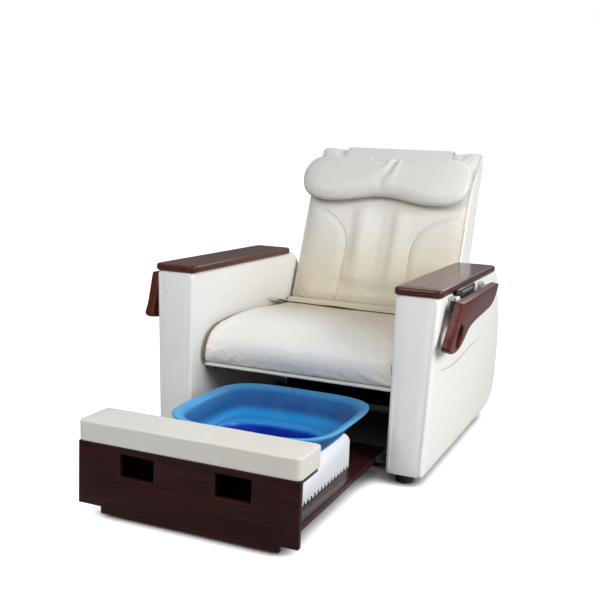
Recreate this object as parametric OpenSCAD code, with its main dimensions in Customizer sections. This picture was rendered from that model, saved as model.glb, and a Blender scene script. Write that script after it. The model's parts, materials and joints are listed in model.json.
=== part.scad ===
// Pedicure spa chair: a massage armchair with a foot-bath drawer that rolls out from under the seat.
// Millimetres, +Z up, the sitter faces -Y. X = 0 is the middle between the arms.
// Lengths along Y are counted from the front face of the arms, positive to the rear.

/* [Arms] */
// Clear width between the two arms
arm_gap = 652; // [620:1:700]
// Width of one arm at its top
arm_w = 134; // [125:1:160]
// How far the outer face of an arm comes in on its way down
arm_lean = 20; // [10:1:26]
// Height of the upholstered arm above the floor
arm_h = 565; // [550:1:620]
// Length of the arm's top edge
arm_top_len = 800; // [780:1:840]
// Length of the arm at its longest, low down
arm_len = 1002; // [985:1:1040]
// Height of the round feet
foot_h = 34; // [28:1:44]
// Diameter of the feet
foot_d = 53; // [40:1:64]
// Thickness of the padded front panel of an arm
front_panel_t = 18; // [12:1:24]
// Thickness of the foam and leather round the wooden arm frame
foam_t = 12; // [8:1:16]
// Thickness of the wooden armrest cap
cap_t = 23; // [18:1:32]
// Length of the wooden armrest cap
cap_len = 748; // [680:1:780]
// How far the cap stands out past the arm on each side
cap_over = 5; // [2:1:6]

/* [Seat] */
// Clearance over the drawer's highest piece when it is pushed in under the seat board
drawer_clear = 3.7; // [3:0.1:14]
// Thickness of the plywood seat board
seat_board_t = 10; // [8:1:16]
// Thickness of the seat cushion at its sides
seat_pad_t = 134; // [110:1:150]
// Extra height of the crown in the middle of the seat cushion
seat_crown = 25; // [5:1:35]
// Depth of the seat cushion from its lower front edge to its rear edge
seat_len = 660; // [640:1:662]

/* [Backrest] */
// Recline of the backrest at rest, in degrees from upright
back_angle = 20.5; // [16:0.5:26]
// Length of the backrest along its slope
back_len = 653; // [620:1:700]
// Thickness of the quilted backrest pad
pad_t = 45; // [38:1:48]
// Depth of the backrest shell behind the pad, at its lower end
shell_deep = 158; // [150:1:170]
// Depth of the backrest shell behind the pad, at its upper end
shell_thin = 44; // [34:1:60]
// How far the top of the backrest curves away to the rear
back_bend = 85; // [60:1:100]
// Width of the head pillow
pillow_w = 660; // [600:1:670]
// Height of the head pillow along the backrest
pillow_h = 206; // [150:1:225]
// Thickness of the head pillow
pillow_t = 66; // [50:1:80]

/* [Foot-bath drawer] */
// How far the drawer front stands out in front of the arms
drawer_out = 599; // [560:1:620]
// Height of the drawer front panel
panel_h = 167; // [160:1:176]
// Thickness of the drawer's boards
board_t = 16; // [12:1:18]
// Width of a hand hole in the front panel
hole_w = 99; // [80:1:120]
// Height of a hand hole in the front panel
hole_h = 61; // [45:1:70]
// Depth of the footrest cushion, front to rear
footrest_len = 128; // [110:1:134]
// Height of the footrest cushion
footrest_t = 56; // [45:1:57]
// Radius of the drawer's wheels
wheel_r = 18; // [15:0.5:19]

/* [Basin] */
// Width of the basin over its rim
basin_w = 480; // [460:1:490]
// Length of the basin over its rim
basin_len = 472; // [440:1:476]
// Height of the basin above the stand it sits on
basin_up = 72; // [68:1:79]
// Depth of the foot well that drops into the stand
well_deep = 62; // [40:1:64]
// Clearance between the basin's rim and the seat rail beside it
basin_side = 5.5; // [4:0.5:20]
// Height of the moulded basin stand
stand_h = 109; // [106:1:112]

/* [Side trays] */
// Thickness of a swing-up side tray
tray_t = 28; // [20:1:30]
// Diameter of the cup hole in a tray
cup_d = 74; // [60:1:76]
// Lean of the hanging tray towards the arm, in degrees
tray_lean = 7; // [5:0.5:8]

/* [Hand control] */
// Length of the hand control
remote_len = 210; // [170:1:230]
// Height of the hand control
remote_h = 58; // [54:1:62]
// Thickness of the hand control
remote_t = 11; // [10:0.5:13]

/* [Hidden] */
$fn = 48;

// Clearances
slack = 0.1; // radial clearance of a bolt in its hole
run = 0.05; // radial running clearance of a shaft in its bore
seat_gap = 0.3; // gap between pieces of different bodies that rest on each other
eps = 0.01;

// Widths, all counted from the clear width between the arms
half_gap = arm_gap / 2;
cushion_half = half_gap - 3.5;
pad_half = half_gap - 8;
shell_half = half_gap - 10;
panel_half = half_gap - 16;
base_half = half_gap - 40;
plinth_half = panel_half - 57;
stand_half = base_half - 43;

// Arms
frame_x = half_gap + foam_t;
ply_t = 12;
frame_side = 6; // how much thicker the foam is on the outer face, at the bottom
frame_w = arm_w - arm_lean - 2 * foam_t - frame_side;
rail_w = frame_w - 2 * ply_t;
lean_angle = atan(arm_lean / (arm_h - foot_h));
foot_x = half_gap + 45;
foot_places = [[foot_x, 65], [foot_x, arm_len - 182]];
foot_bolt_r = 4;
foot_head_r = 8;
foot_head_z = 6;
rail_h = 22; // height of the wooden rails and posts inside an arm
cap_bolt_y = [150, 620];
cap_bolt_x = frame_x + frame_w / 2;
rail_bolt_y = [150, 400, 630];

// Heights of the drawer, which the seat clears
panel_z = foot_h;
base_z = 49;
deck_z = base_z + board_t;
footrest_z = panel_z + panel_h + seat_gap;
stand_top = deck_z + stand_h;
basin_z = stand_top + seat_gap;

// Seat
seat_under = max(footrest_z + footrest_t, basin_z + basin_up) + drawer_clear;
seat_front = 66;
board_front = seat_front + 10;
board_rear = seat_front + seat_len;
seat_base_z = seat_under + seat_board_t + seat_gap;
seat_side_z = seat_base_z + seat_pad_t;
angle_t = 3;
angle_leg = 18;
angle_drop = 40;
rail_bolt_z = seat_under - 23;
beam_s = 40;
beam_y = board_rear - 36;
beam_z = seat_under - beam_s;
bar_s = 35;
bar_z = 102;
flange_t = 3;
flange_ear = 25;

// Backrest: local axes are x, t (to the rear) and s (up the slope), from the pad's lower front edge
back_y = board_rear + 8;
bar_y = back_y + 158;
back_z = seat_side_z - 10;
bend_from = back_len - 268;
pivot_s = -40;
pivot_t = pad_t + 42.5;
pivot_y = back_y + pivot_s * sin(back_angle) + pivot_t * cos(back_angle);
pivot_z = back_z + pivot_s * cos(back_angle) - pivot_t * sin(back_angle);
pin_r = 8;
tube_s = 25;
tube_x = shell_half - 54;
lever_s = -40;
lever_t = pivot_t + 82.5;
lever_y = back_y + lever_s * sin(back_angle) + lever_t * cos(back_angle);
lever_z = back_z + lever_s * cos(back_angle) - lever_t * sin(back_angle);
lever_pin_r = 5;
eye_r = 9.5;
shell_top = back_len - 8;
shell_wall = 16;
frame_top_s = back_len - 148;
frame_low_s = 18;
track_x = 90;
track_r = 7;
track_in = 8; // how far a track rod goes into the frame's cross tubes
carriage_s = 150;
carriage_h = 80;
roller_r = 13;
tyre_r = 4.5;
roller_x = [50, 100];
pad_face = 2; // how far the pad's face lies behind the backrest's front line

// Actuator between the base bar and the backrest lever
act_y = bar_y + bar_s / 2;
act_z = bar_z + bar_s + 13;
act_dy = lever_y - act_y;
act_dz = lever_z - act_z;
act_len = norm([act_dy, act_dz]);
act_angle = atan2(-act_dy, act_dz);
act_pin_r = 6;
act_tube_r = 16;
act_rod_r = 7;
act_stroke = 28.5;
act_bore_z = 30;
act_tube_top = act_len - eye_r - 5 - act_stroke - 2;

// Drawer
panel_y = -drawer_out;
base_rear = panel_y + 745;
top_t = 11;
top_z = panel_z + panel_h - top_t;
plinth_z = 8;
hole_x = 135;
hole_z = panel_z + 119.5;
stand_front = panel_y + 99;
stand_rear = stand_front + 420;
wheel_w = 16;
axle_r = 4;
wheel_x = base_half - 56;
wheel_y = [panel_y + 64, base_rear - 46];
cheek_h = top_z - deck_z;

// Basin: rings of [height, half width, half length, squareness, Y of the middle]
basin_y = panel_y + 379;
rim_x = basin_w / 2;
rim_y = basin_len / 2;
basin_shift = half_gap - angle_leg - basin_side - rim_x - 0.5;
well_x = rim_x - 82;
well_y = rim_y - 123;
floor_y = basin_y - 15;
well_mid_y = basin_y - 38;

// Side trays
tray_off = 7;
tray_drop = 1;
remote_u = cap_over + 0.8;
button_out = 1.4;
tray_clear = 0.8; // between the buttons and a tray that is swung up
hinge_x = half_gap + arm_w + remote_u + remote_t + button_out + tray_clear - tray_drop;
hinge_z = arm_h - 11.5;
cup_y = 88;
cup_w = 102;
tray_hinge_y = [92, 470];
tray_hinge_len = 44;
knuckle_r = 5;
hinge_pin_r = 2.5;

// Hand control, in axes on the arm's outer face: u out from the face, Y, height
remote_y = 150;
remote_z = hinge_z - 38;
button_row_z = remote_z + remote_h - 10;
button_h = 8;
button_w = 22;
button_names = ["button_recline", "button_raise", "button_massage", "button_power"];
button_pitch = 34;

// Points on an arc, and on a cubic curve
function arc(c, r, a0, a1, n = 6) = [
  for (i = [0:n]) let (a = a0 + (a1 - a0) * i / n) c + r * [cos(a), sin(a)]
];
function cubic(a, b, c, d, n = 8) = [
  for (i = [0:n]) let (t = i / n, u = 1 - t)
  u * u * u * a + 3 * u * u * t * b + 3 * u * t * t * c + t * t * t * d
];
function round_rect(x0, y0, x1, y1, r, n = 5) = concat(
  arc([x1 - r, y1 - r], r, 0, 90, n), arc([x0 + r, y1 - r], r, 90, 180, n),
  arc([x0 + r, y0 + r], r, 180, 270, n), arc([x1 - r, y0 + r], r, 270, 360, n)
);
// A rounded outline between an ellipse (n = 2) and a rectangle (large n)
function squircle(hx, hy, n, k) = [
  for (i = [0:k - 1]) let (c = cos(360 * i / k), s = sin(360 * i / k))
  [hx * sign(c) * pow(abs(c), 2 / n), hy * sign(s) * pow(abs(s), 2 / n)]
];
function smooth(v) = let (t = min(1, max(0, v))) t * t * (3 - 2 * t);
function middle(points) = [
  for (i = [0:2]) let (v = [for (p = points) p[i]]) (min(v) + max(v)) / 2
];

// A closed skin over rings that all have the same number of points
module loft(rings) {
  k = len(rings[0]);
  n = len(rings);
  last = (n - 1) * k;
  walls = [
    for (i = [0:n - 2], j = [0:k - 1]) each
    let (a = i * k + j, b = i * k + (j + 1) % k) [[a, a + k, b + k], [a, b + k, b]]
  ];
  ends = [
    for (j = [0:k - 1]) each let (next = (j + 1) % k)
    [[n * k, j, next], [n * k + 1, last + next, last + j]]
  ];
  points = concat([for (r = rings) each r], [middle(rings[0]), middle(rings[n - 1])]);
  polyhedron(points, concat(walls, ends), convexity = 6);
}

module on_side(side) { if (side < 0) mirror([1, 0, 0]) children(); else children(); }
module both_sides() { children(); mirror([1, 0, 0]) children(); }
module along_x(w) { rotate([90, 0, 90]) linear_extrude(w) children(); }
module rod_x(x0, x1, r) { translate([x0, 0, 0]) rotate([0, 90, 0]) cylinder(r = r, h = x1 - x0); }
module box(a, b) { translate(a) cube(b - a); }
module in_back() { translate([0, back_y, back_z]) rotate([-back_angle, 0, 0]) children(); }

// ---------------------------------------------------------------- arms

// Side view of an arm, drawn in by d all round; the flat front is at y0. A rounded heel at the rear
// runs into an edge that sweeps forward to the top. The pulls are the curves' handles.
heel_len = 156;
heel_h = 116;
heel_pull = [72, 36];
sweep_pull = [6, 140];
top_pull = [120, 125];
function arm_outline(d, y0) = let (rear = arm_len - d, low = foot_h + d, top = arm_h - d) concat(
  cubic(
    [arm_len - heel_len, low], [rear - heel_pull[0], low], [rear, low + heel_pull[1]],
    [rear, foot_h + heel_h], 8
  ),
  cubic(
    [rear - 1, foot_h + heel_h + 10], [rear - sweep_pull[0], foot_h + heel_h + 10 + sweep_pull[1]],
    [arm_top_len - d + top_pull[0], arm_h - top_pull[1]], [arm_top_len - d, top], 12
  ),
  [[y0, top], [y0, low]]
);

module outside_lean() {
  big = 2000;
  translate([half_gap + arm_w, 0, arm_h]) rotate([0, lean_angle, 0])
    box([0, -big, -big], [big, big, big]);
}

module cap_bolt_shape(grow) {
  head = 5;
  into_cap = cap_t - 8;
  for (y = cap_bolt_y) translate([cap_bolt_x, y, arm_h - foam_t - rail_h]) {
    translate([0, 0, -head]) cylinder(r = 7 + grow, h = head);
    translate([0, 0, -1]) cylinder(r = foot_bolt_r + grow, h = 1 + rail_h + foam_t + into_cap);
  }
}

module foot_bolt_shape(grow) {
  for (p = foot_places) translate([p[0], p[1], foot_head_z]) {
    cylinder(r = foot_head_r + grow, h = 6);
    cylinder(r = foot_bolt_r + grow, h = foot_h + foam_t + rail_h - foot_head_z);
  }
}

// Bolts that hold the seat rails and the two cross members on the inner face of an arm
module side_bolt_shape(grow, head) {
  for (y = rail_bolt_y) translate([0, y, rail_bolt_z]) {
    rod_x(half_gap - angle_t - 4, half_gap + foam_t + ply_t + 2, foot_bolt_r + grow);
    if (head) rod_x(half_gap - angle_t - 4.5, half_gap - angle_t, 7);
  }
  for (p = [[beam_y, beam_s, beam_z], [bar_y, bar_s, bar_z]], k = [0, 1])
    translate([0, p[0] + (k == 0 ? -flange_ear / 2 : p[1] + flange_ear / 2), p[2] + p[1] / 2]) {
      rod_x(half_gap - flange_t - 4, half_gap + foam_t + ply_t + 2, foot_bolt_r + grow);
      if (head) rod_x(half_gap - flange_t - 4.5, half_gap - flange_t, 7);
    }
}

module arm_upholstery(side) {
  color([0.86, 0.85, 0.81]) on_side(side) difference() {
    translate([half_gap, 0, 0]) along_x(arm_w) polygon(arm_outline(0, front_panel_t));
    outside_lean();
    translate([frame_x, 0, 0]) along_x(frame_w) polygon(arm_outline(foam_t, front_panel_t - 5));
    cap_bolt_shape(slack);
    foot_bolt_shape(slack);
    side_bolt_shape(slack, false);
  }
}

module arm_frame(side) {
  color("burlywood") on_side(side) difference() {
    union() {
      for (x = [frame_x, frame_x + frame_w - ply_t])
        translate([x, 0, 0]) along_x(ply_t) polygon(arm_outline(foam_t, front_panel_t));
      translate([frame_x + ply_t, 0, 0]) {
        box([0, front_panel_t, arm_h - foam_t - rail_h], [rail_w, arm_top_len - 70, arm_h - foam_t]);
        box([0, front_panel_t, foot_h + foam_t], [rail_w, arm_len - 170, foot_h + foam_t + rail_h]);
        for (y = [front_panel_t, 340, arm_top_len - 100])
          box([0, y, foot_h + foam_t + rail_h], [rail_w, y + rail_h, arm_h - foam_t - rail_h]);
      }
    }
    cap_bolt_shape(slack);
    foot_bolt_shape(slack);
    side_bolt_shape(slack, false);
  }
}

module arm_front_panels() {
  inner = half_gap;
  low = inner + arm_w - arm_lean;
  corner = 12;
  outline = concat(
    arc([inner + corner, foot_h + corner], corner, 180, 270),
    [[low, foot_h], [inner + arm_w, arm_h], [inner, arm_h]]
  );
  color([0.8, 0.8, 0.78]) both_sides()
    translate([0, front_panel_t, 0]) rotate([90, 0, 0]) linear_extrude(front_panel_t) polygon(outline);
}

module armrest_cap(side) {
  x0 = half_gap - cap_over;
  x1 = half_gap + arm_w + cap_over;
  edge = 3;
  corner = 16;
  skin = 0.1;
  color([0.35, 0.12, 0.1]) on_side(side) difference() {
    hull() for (e = [[0, edge], [1, 0.6], [edge, 0], [cap_t - edge, 0], [cap_t - 1, 0.6], [cap_t, edge]])
      translate([0, 0, arm_h + min(e[0], cap_t - skin)]) linear_extrude(skin) polygon(round_rect(
        x0 + e[1], -cap_over + e[1], x1 - e[1], cap_len - cap_over - e[1], corner - e[1]
      ));
    cap_bolt_shape(slack);
  }
}

module cap_bolts() { color("silver") both_sides() cap_bolt_shape(0); }

module feet() {
  color([0.06, 0.06, 0.06]) both_sides() difference() {
    for (p = foot_places) translate([p[0], p[1], 0]) cylinder(d = foot_d, h = foot_h);
    foot_bolt_shape(slack);
    for (p = foot_places) translate([p[0], p[1], -1])
      cylinder(r = foot_head_r + slack, h = foot_head_z + 1 + eps);
  }
}

module foot_bolts() { color("silver") both_sides() foot_bolt_shape(0); }

// ---------------------------------------------------------------- seat

module seat_rails() {
  y0 = board_front + 4;
  y1 = beam_y - flange_ear - 2;
  color([0.12, 0.12, 0.12]) both_sides() difference() {
    union() {
      box([half_gap - angle_leg, y0, seat_under - angle_t], [half_gap, y1, seat_under]);
      box([half_gap - angle_t, y0, seat_under - angle_drop], [half_gap, y1, seat_under]);
    }
    side_bolt_shape(slack, false);
  }
}

module seat_rail_bolts() { color("silver") both_sides() side_bolt_shape(0, true); }

module seat_board() {
  x = cushion_half - 1;
  color("burlywood")
    box([-x, board_front, seat_under], [x, board_rear, seat_under + seat_board_t]);
}

// Side view of the seat cushion: [y, z, crown direction y, crown direction z]
function seat_points() = let (
  f = seat_front, z = seat_base_z, t = seat_side_z, n = 9, m = 8,
  nose = cubic([f, z], [f - 26, z + 29], [f - 18, t - 23], [f + 84, t - 6], n),
  top = cubic([f + 84, t - 6], [f + 234, t + 16], [board_rear - 190, t - 12], [board_rear - 2, t - 20], m)
) concat(
  [for (i = [0:n]) let (a = 90 * i / n, k = smooth(i / 4)) [nose[i][0], nose[i][1], -cos(a) * k, sin(a) * k]],
  [for (i = [1:m]) [top[i][0], top[i][1], 0, 1 - 0.85 * smooth((i - 2) / (m - 2))]]
);

module seat_cushion() {
  side_r = 30;
  stations = [0, 0.06, 0.25, 0.55, 1];
  outer = seat_points();
  flat = cushion_half - side_r;
  xs = concat(
    [for (s = stations) -cushion_half + s * side_r], [for (i = [1:8]) flat * (i / 4.5 - 1)],
    [for (i = [4:-1:0]) cushion_half - stations[i] * side_r]
  );
  function drawn_in(x) = let (u = min(1, max(0, (abs(x) - flat) / side_r)))
    side_r * 0.8 * (1 - sqrt(1 - u * u));
  function crown(x) = seat_crown * pow(max(0, 1 - pow(abs(x) / cushion_half, 2.4)), 0.8) - drawn_in(x);
  function skin(x) = let (c = crown(x), forward = c > 0 ? c / 2 : c) [
    for (i = [len(outer) - 1:-1:0]) let (p = outer[i]) [x, p[0] + forward * p[2], p[1] + c * p[3]]
  ];
  function under(x) = [
    for (i = [1:4]) [x, seat_front + (board_rear - 2 - seat_front) * i / 4, seat_base_z]
  ];
  color([0.85, 0.84, 0.79]) loft([for (x = xs) concat(skin(x), under(x))]);
}

module cross_member(y, z, s) {
  box([-half_gap, y, z], [half_gap, y + s, z + s]);
  both_sides() box([half_gap - flange_t, y - flange_ear, z], [half_gap, y + s + flange_ear, z + s]);
}

module cross_member_bore(y, z, s) {
  wall = 3;
  box([-half_gap - 1, y + wall, z + wall], [half_gap + 1, y + s - wall, z + s - wall]);
}

module rear_cross_beam() {
  lug_r = 20;
  lug_x = tube_x + tube_s + 0.5;
  color([0.12, 0.12, 0.12]) difference() {
    union() {
      cross_member(beam_y, beam_z, beam_s);
      both_sides() translate([lug_x, 0, 0]) along_x(6) union() {
        polygon([
          [beam_y + beam_s - eps, beam_z + 3], [beam_y + beam_s - eps, beam_z + beam_s - 4],
          [pivot_y - lug_r, pivot_z + 4], [pivot_y + lug_r, pivot_z - 6], [pivot_y - 6, beam_z + 3]
        ]);
        translate([pivot_y, pivot_z]) circle(lug_r);
      }
    }
    cross_member_bore(beam_y, beam_z, beam_s);
    side_bolt_shape(slack, false);
    mirror([1, 0, 0]) side_bolt_shape(slack, false);
    translate([0, pivot_y, pivot_z]) both_sides() rod_x(lug_x - 1, lug_x + 7, pin_r);
  }
}

module base_cross_bar() {
  color([0.12, 0.12, 0.12]) difference() {
    union() {
      cross_member(bar_y, bar_z, bar_s);
      both_sides() translate([12.5, 0, 0]) along_x(5) union() {
        translate([act_y, act_z]) circle(13);
        translate([act_y - 13, bar_z + bar_s - eps]) square([26, act_z - bar_z - bar_s + eps]);
      }
    }
    cross_member_bore(bar_y, bar_z, bar_s);
    side_bolt_shape(slack, false);
    mirror([1, 0, 0]) side_bolt_shape(slack, false);
    translate([0, act_y, act_z]) rod_x(-20, 20, act_pin_r);
  }
}

module back_hinge_pins() {
  out = tube_x + tube_s + 6.5;
  color("silver") both_sides() translate([0, pivot_y, pivot_z]) {
    rod_x(tube_x - 5, out, pin_r);
    rod_x(out, out + 5, pin_r + 4);
    rod_x(tube_x - 4, tube_x - 1, pin_r + 3);
  }
}

module actuator_base_pin() {
  color("silver") translate([0, act_y, act_z]) {
    rod_x(-17.5, 20, act_pin_r);
    both_sides() rod_x(17.5, 21, act_pin_r + 3);
  }
}

// Channels on the arms' inner faces that guide the drawer
track_z = base_z + board_t / 2;
track_h = 24;
track_wall = 3;
module drawer_tracks() {
  x = base_half + 16;
  y = [front_panel_t, base_rear + drawer_out + 4];
  z = [track_z - track_h / 2, track_z + track_h / 2];
  color([0.12, 0.12, 0.12]) both_sides() difference() {
    box([x, y[0], z[0]], [half_gap, y[1], z[1]]);
    box([x - 1, y[0] - 1, z[0] + track_wall], [half_gap - track_wall, y[1] + 1, z[1] - track_wall]);
  }
}

// ---------------------------------------------------------------- hand control and power

module on_arm_face() {
  translate([half_gap + arm_w, 0, arm_h]) rotate([0, lean_angle, 0]) translate([0, 0, -arm_h]) children();
}

module control_holder() {
  lip = 1.5;
  y0 = remote_y - 3;
  y1 = remote_y + remote_len + 3;
  z0 = remote_z - 4;
  plate = remote_u - seat_gap;
  front = remote_u + remote_t + seat_gap;
  color([0.05, 0.05, 0.05]) on_arm_face() {
    box([0, y0, z0], [plate, y1, remote_z + 34]);
    box([plate - eps, y0, z0], [front + lip, y1, remote_z - seat_gap]);
    box([front, y0, z0], [front + lip, y1, remote_z + 6]);
  }
}

button_gap = 0.4;
button_back = 1.4; // free way behind a button
button_deep = 5;
function button_y(i) = remote_y + remote_len / 2 + (i - 1.5) * button_pitch;
module button_outline(i, grow, r) {
  y = button_y(i);
  half = [button_w / 2 + grow, button_h / 2 + grow];
  polygon(round_rect(y - half[0], button_row_z - half[1], y + half[0], button_row_z + half[1], r));
}

module hand_control() {
  case = round_rect(remote_y, remote_z, remote_y + remote_len, remote_z + remote_h, 12);
  pocket = button_deep - button_out + button_back;
  color([0.06, 0.06, 0.06]) on_arm_face() difference() {
    translate([remote_u, 0, 0]) along_x(remote_t) polygon(case);
    for (i = [0:3]) translate([remote_u + remote_t - pocket, 0, 0])
      along_x(pocket + 1) button_outline(i, button_gap, 3 + button_gap);
  }
}

module control_button(i) {
  color([0.45, 0.47, 0.47]) on_arm_face()
    translate([remote_u + remote_t + button_out - button_deep, 0, 0])
      along_x(button_deep) button_outline(i, 0, 3);
}

box_size = [84, 104, 96];
box_x = half_gap - box_size[0];
box_y = bar_y - flange_ear - 3 - box_size[1];
box_z = 62;
inlet_at = [22, 30];
inlet_size = [30, 22];
module control_box() {
  wall = 3;
  s = box_size;
  color([0.1, 0.1, 0.1]) translate([box_x, box_y, box_z]) difference() {
    cube(s);
    box([wall, wall, wall], [s[0] + 1, s[1] - wall, s[2] - wall]);
    box(
      [inlet_at[0], s[1] - wall - 1, inlet_at[1]],
      [inlet_at[0] + inlet_size[0], s[1] + 1, inlet_at[1] + inlet_size[1]]
    );
  }
}

// Mains inlet: a body through the box's wall, a flange outside it and three pins in the socket
module power_inlet() {
  w = inlet_size[0];
  h = inlet_size[1];
  wall = 3;
  deep = 14;
  fit = 0.1;
  flange = 5;
  at = [box_x + inlet_at[0], box_y + box_size[1], box_z + inlet_at[1]];
  color([0.03, 0.03, 0.03]) translate(at) {
    difference() {
      union() {
        box([fit, -deep, fit], [w - fit, fit, h - fit]);
        box([-flange, 0, -flange + 1], [w + flange, wall, h + flange - 1]);
      }
      box([wall, wall - deep, wall], [w - wall, wall + 1, h - wall]);
    }
    for (x = [w / 2 - 6, w / 2, w / 2 + 6]) box([x - 1, wall - deep - eps, 9], [x + 1, 1, 13]);
  }
}

// ---------------------------------------------------------------- backrest

// The front of the backrest, seen from the side: straight, then bent back at the top
function front_t(s) = back_bend * pow(max(0, s - bend_from) / (back_len - bend_from), 1.8);
function shell_rear_t(s) = let (taper = smooth(s / shell_top * 0.9) * 1.03)
  pad_t + shell_deep + (back_bend + shell_thin - shell_deep) * taper;
function shell_outline(d) = concat(
  [for (i = [0:10]) let (s = d + (shell_top - 2 * d) * i / 10) [front_t(s) + pad_t + seat_gap, s]],
  [for (i = [10:-1:0]) let (s = d + (shell_top - 2 * d) * i / 10) [shell_rear_t(s) - d, s]]
);

module back_shell() {
  w = shell_wall;
  lo = pivot_t - tube_s / 2;
  color([0.88, 0.87, 0.84]) in_back() difference() {
    translate([-shell_half, 0, 0]) along_x(2 * shell_half) polygon(shell_outline(0));
    translate([-shell_half + w, 0, 0]) along_x(2 * (shell_half - w)) polygon(concat(
      [for (i = [0:10]) let (s = w + (shell_top - 2 * w) * i / 10) [front_t(s) + pad_t - 5, s]],
      [
        for (i = [10:-1:0]) let (s = w + (shell_top - 2 * w) * i / 10)
        [max(shell_rear_t(s) - w, front_t(s) + pad_t + 2), s]
      ]
    ));
    both_sides() box([tube_x - 1, lo - 1, -1], [tube_x + tube_s + 1, lo + tube_s + 1, w + 1]);
    box([-25, lo + tube_s - 1, -1], [25, lever_t + 16, w + 1]);
  }
}

module back_frame() {
  lo = pivot_t - tube_s / 2;
  hi = pivot_t + tube_s / 2;
  color([0.15, 0.15, 0.15]) in_back() difference() {
    union() {
      both_sides() box([tube_x, lo, pivot_s - 18], [tube_x + tube_s, hi, frame_top_s]);
      for (s = [frame_low_s, frame_top_s - tube_s])
        box([-tube_x - eps, lo, s], [tube_x + eps, hi, s + tube_s]);
      both_sides() translate([16, 0, 0]) along_x(5) union() {
        polygon([[hi - eps, 20], [hi - eps, 42], [lever_t + 12, lever_s + 8], [lever_t - 8, lever_s - 11]]);
        translate([lever_t, lever_s]) circle(13);
      }
    }
    translate([0, pivot_t, pivot_s]) both_sides() rod_x(tube_x - 1, tube_x + tube_s + 1, pin_r + run);
    translate([0, lever_t, lever_s]) rod_x(-22, 22, lever_pin_r);
    for (x = [-track_x, track_x], s = [frame_low_s + tube_s - track_in, frame_top_s - tube_s - 1])
      translate([x, pivot_t, s]) cylinder(r = track_r, h = track_in + 1);
  }
}

// Quilted pad: two soft ridges over the kneading tracks, a seam round the middle panel
module back_pad() {
  rows = 22;
  edge = 12;
  rear = [
    [pad_half, 15], [pad_half, pad_t - 12], [pad_half - 5, pad_t], [0, pad_t],
    [-pad_half + 5, pad_t], [-pad_half, pad_t - 12], [-pad_half, 15]
  ];
  function seam_x(s) = let (k = max(0, min(1, (s - 230) / 140))) min(pad_half - 30, pad_half * (1 - 0.51 * sqrt(1 - k * k)));
  function front(x, s) = let (
    a = abs(x), g = seam_x(s),
    ridge = 9 * exp(-pow((a - 72) / 30, 2)) * smooth(s / 120) * smooth((430 - s) / 90),
    groove = 7 * exp(-pow((a - g) / 9, 2)) * smooth((400 - s) / 40),
    side = 10 * pow(a / pad_half, 4)
  ) 6 - ridge + groove + side * 0.8 - 4 * smooth((pad_half - a) / 60);
  function columns(s) = let (g = seam_x(s)) [
    0, 40, 62, 86, min(118, g - 14), g - 9, g, g + 9, (g + pad_half) / 2, pad_half - 9, pad_half - 3
  ];
  function ring(s, in) = let (
    c = columns(s), n = len(c), f = front_t(s), shut = in * edge,
    half = [for (i = [n - 1:-1:1]) [-c[i], front(c[i], s)]],
    whole = concat(half, [for (i = [0:n - 1]) [c[i], front(c[i], s)]])
  ) concat(
    [for (p = whole) [p[0] * (1 - shut / pad_half * 0.6), f + p[1] + shut, s]],
    [
      for (p = rear) let (back = p[1] < 20 ? p[1] + shut / 2 : p[1])
      [p[0] - sign(p[0]) * shut * 0.6, f + back, s]
    ]
  );
  rows_s = concat([0, 3, 10], [for (i = [1:rows]) 10 + (back_len - 20) * i / rows], [back_len - 3, back_len]);
  function closing(s) = let (e = min(s, back_len - s)) e >= 10 ? 0 : 1 - sqrt(1 - pow(1 - e / 10, 2));
  color([0.85, 0.84, 0.79]) in_back() loft([for (s = rows_s) ring(s, closing(s))]);
}

module massage_track() {
  lo = frame_low_s + tube_s;
  hi = frame_top_s - tube_s;
  rack = 6;
  pitch = 12;
  color("silver") in_back() {
    for (x = [-track_x, track_x])
      translate([x, pivot_t, lo - track_in]) cylinder(r = track_r, h = hi - lo + 2 * track_in);
    difference() {
      box([-rack, pivot_t - rack, lo], [rack, pivot_t + rack, hi]);
      for (s = [lo + 9:pitch:hi - pitch])
        translate([-rack - 1, pivot_t - rack - 1, s]) cube([2 * rack + 2, 4, pitch / 2]);
    }
  }
}

module actuator_lever_pin() {
  color("silver") in_back() translate([0, lever_t, lever_s]) {
    rod_x(-21, 21, lever_pin_r);
    both_sides() rod_x(21, 24, lever_pin_r + 3);
  }
}

roller_t = pad_t + 2 + roller_r;
roller_s = [carriage_s + 14, carriage_s + carriage_h - 14];
module massage_carriage() {
  lo = pivot_t - 12;
  color([0.2, 0.2, 0.22]) in_back() difference() {
    union() {
      box([-120, lo, carriage_s], [120, lo + 24, carriage_s + carriage_h]);
      box([-34, lo + 24 - eps, carriage_s + 8], [34, lo + 56, carriage_s + carriage_h - 8]);
      for (s = roller_s) both_sides() for (x = [roller_x[0] - 10, roller_x[1] + 2])
        box([x, roller_t - 6, s - 6], [x + 8, lo + eps, s + 6]);
    }
    for (x = [-track_x, track_x])
      translate([x, pivot_t, carriage_s - 1]) cylinder(r = track_r + run, h = carriage_h + 2);
    box([-6.4, pivot_t - 6.4, carriage_s - 1], [6.4, pivot_t + 6.4, carriage_s + carriage_h + 1]);
    for (s = roller_s) translate([0, roller_t, s]) both_sides() rod_x(roller_x[0] - 11, roller_x[1] + 11, 3);
  }
}

module kneading_rollers(s) {
  color([0.75, 0.75, 0.72]) in_back() translate([0, roller_t, s]) both_sides() {
    rod_x(roller_x[0] - 10, roller_x[1] + 10, 3 - run);
    rod_x(roller_x[0] + tyre_r, roller_x[1] - tyre_r, roller_r - tyre_r);
    for (x = [roller_x[0] + tyre_r, roller_x[1] - tyre_r])
      translate([x, 0, 0]) rotate([0, 90, 0]) rotate_extrude()
        translate([roller_r - tyre_r, 0]) circle(tyre_r, $fn = 24);
  }
}

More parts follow.
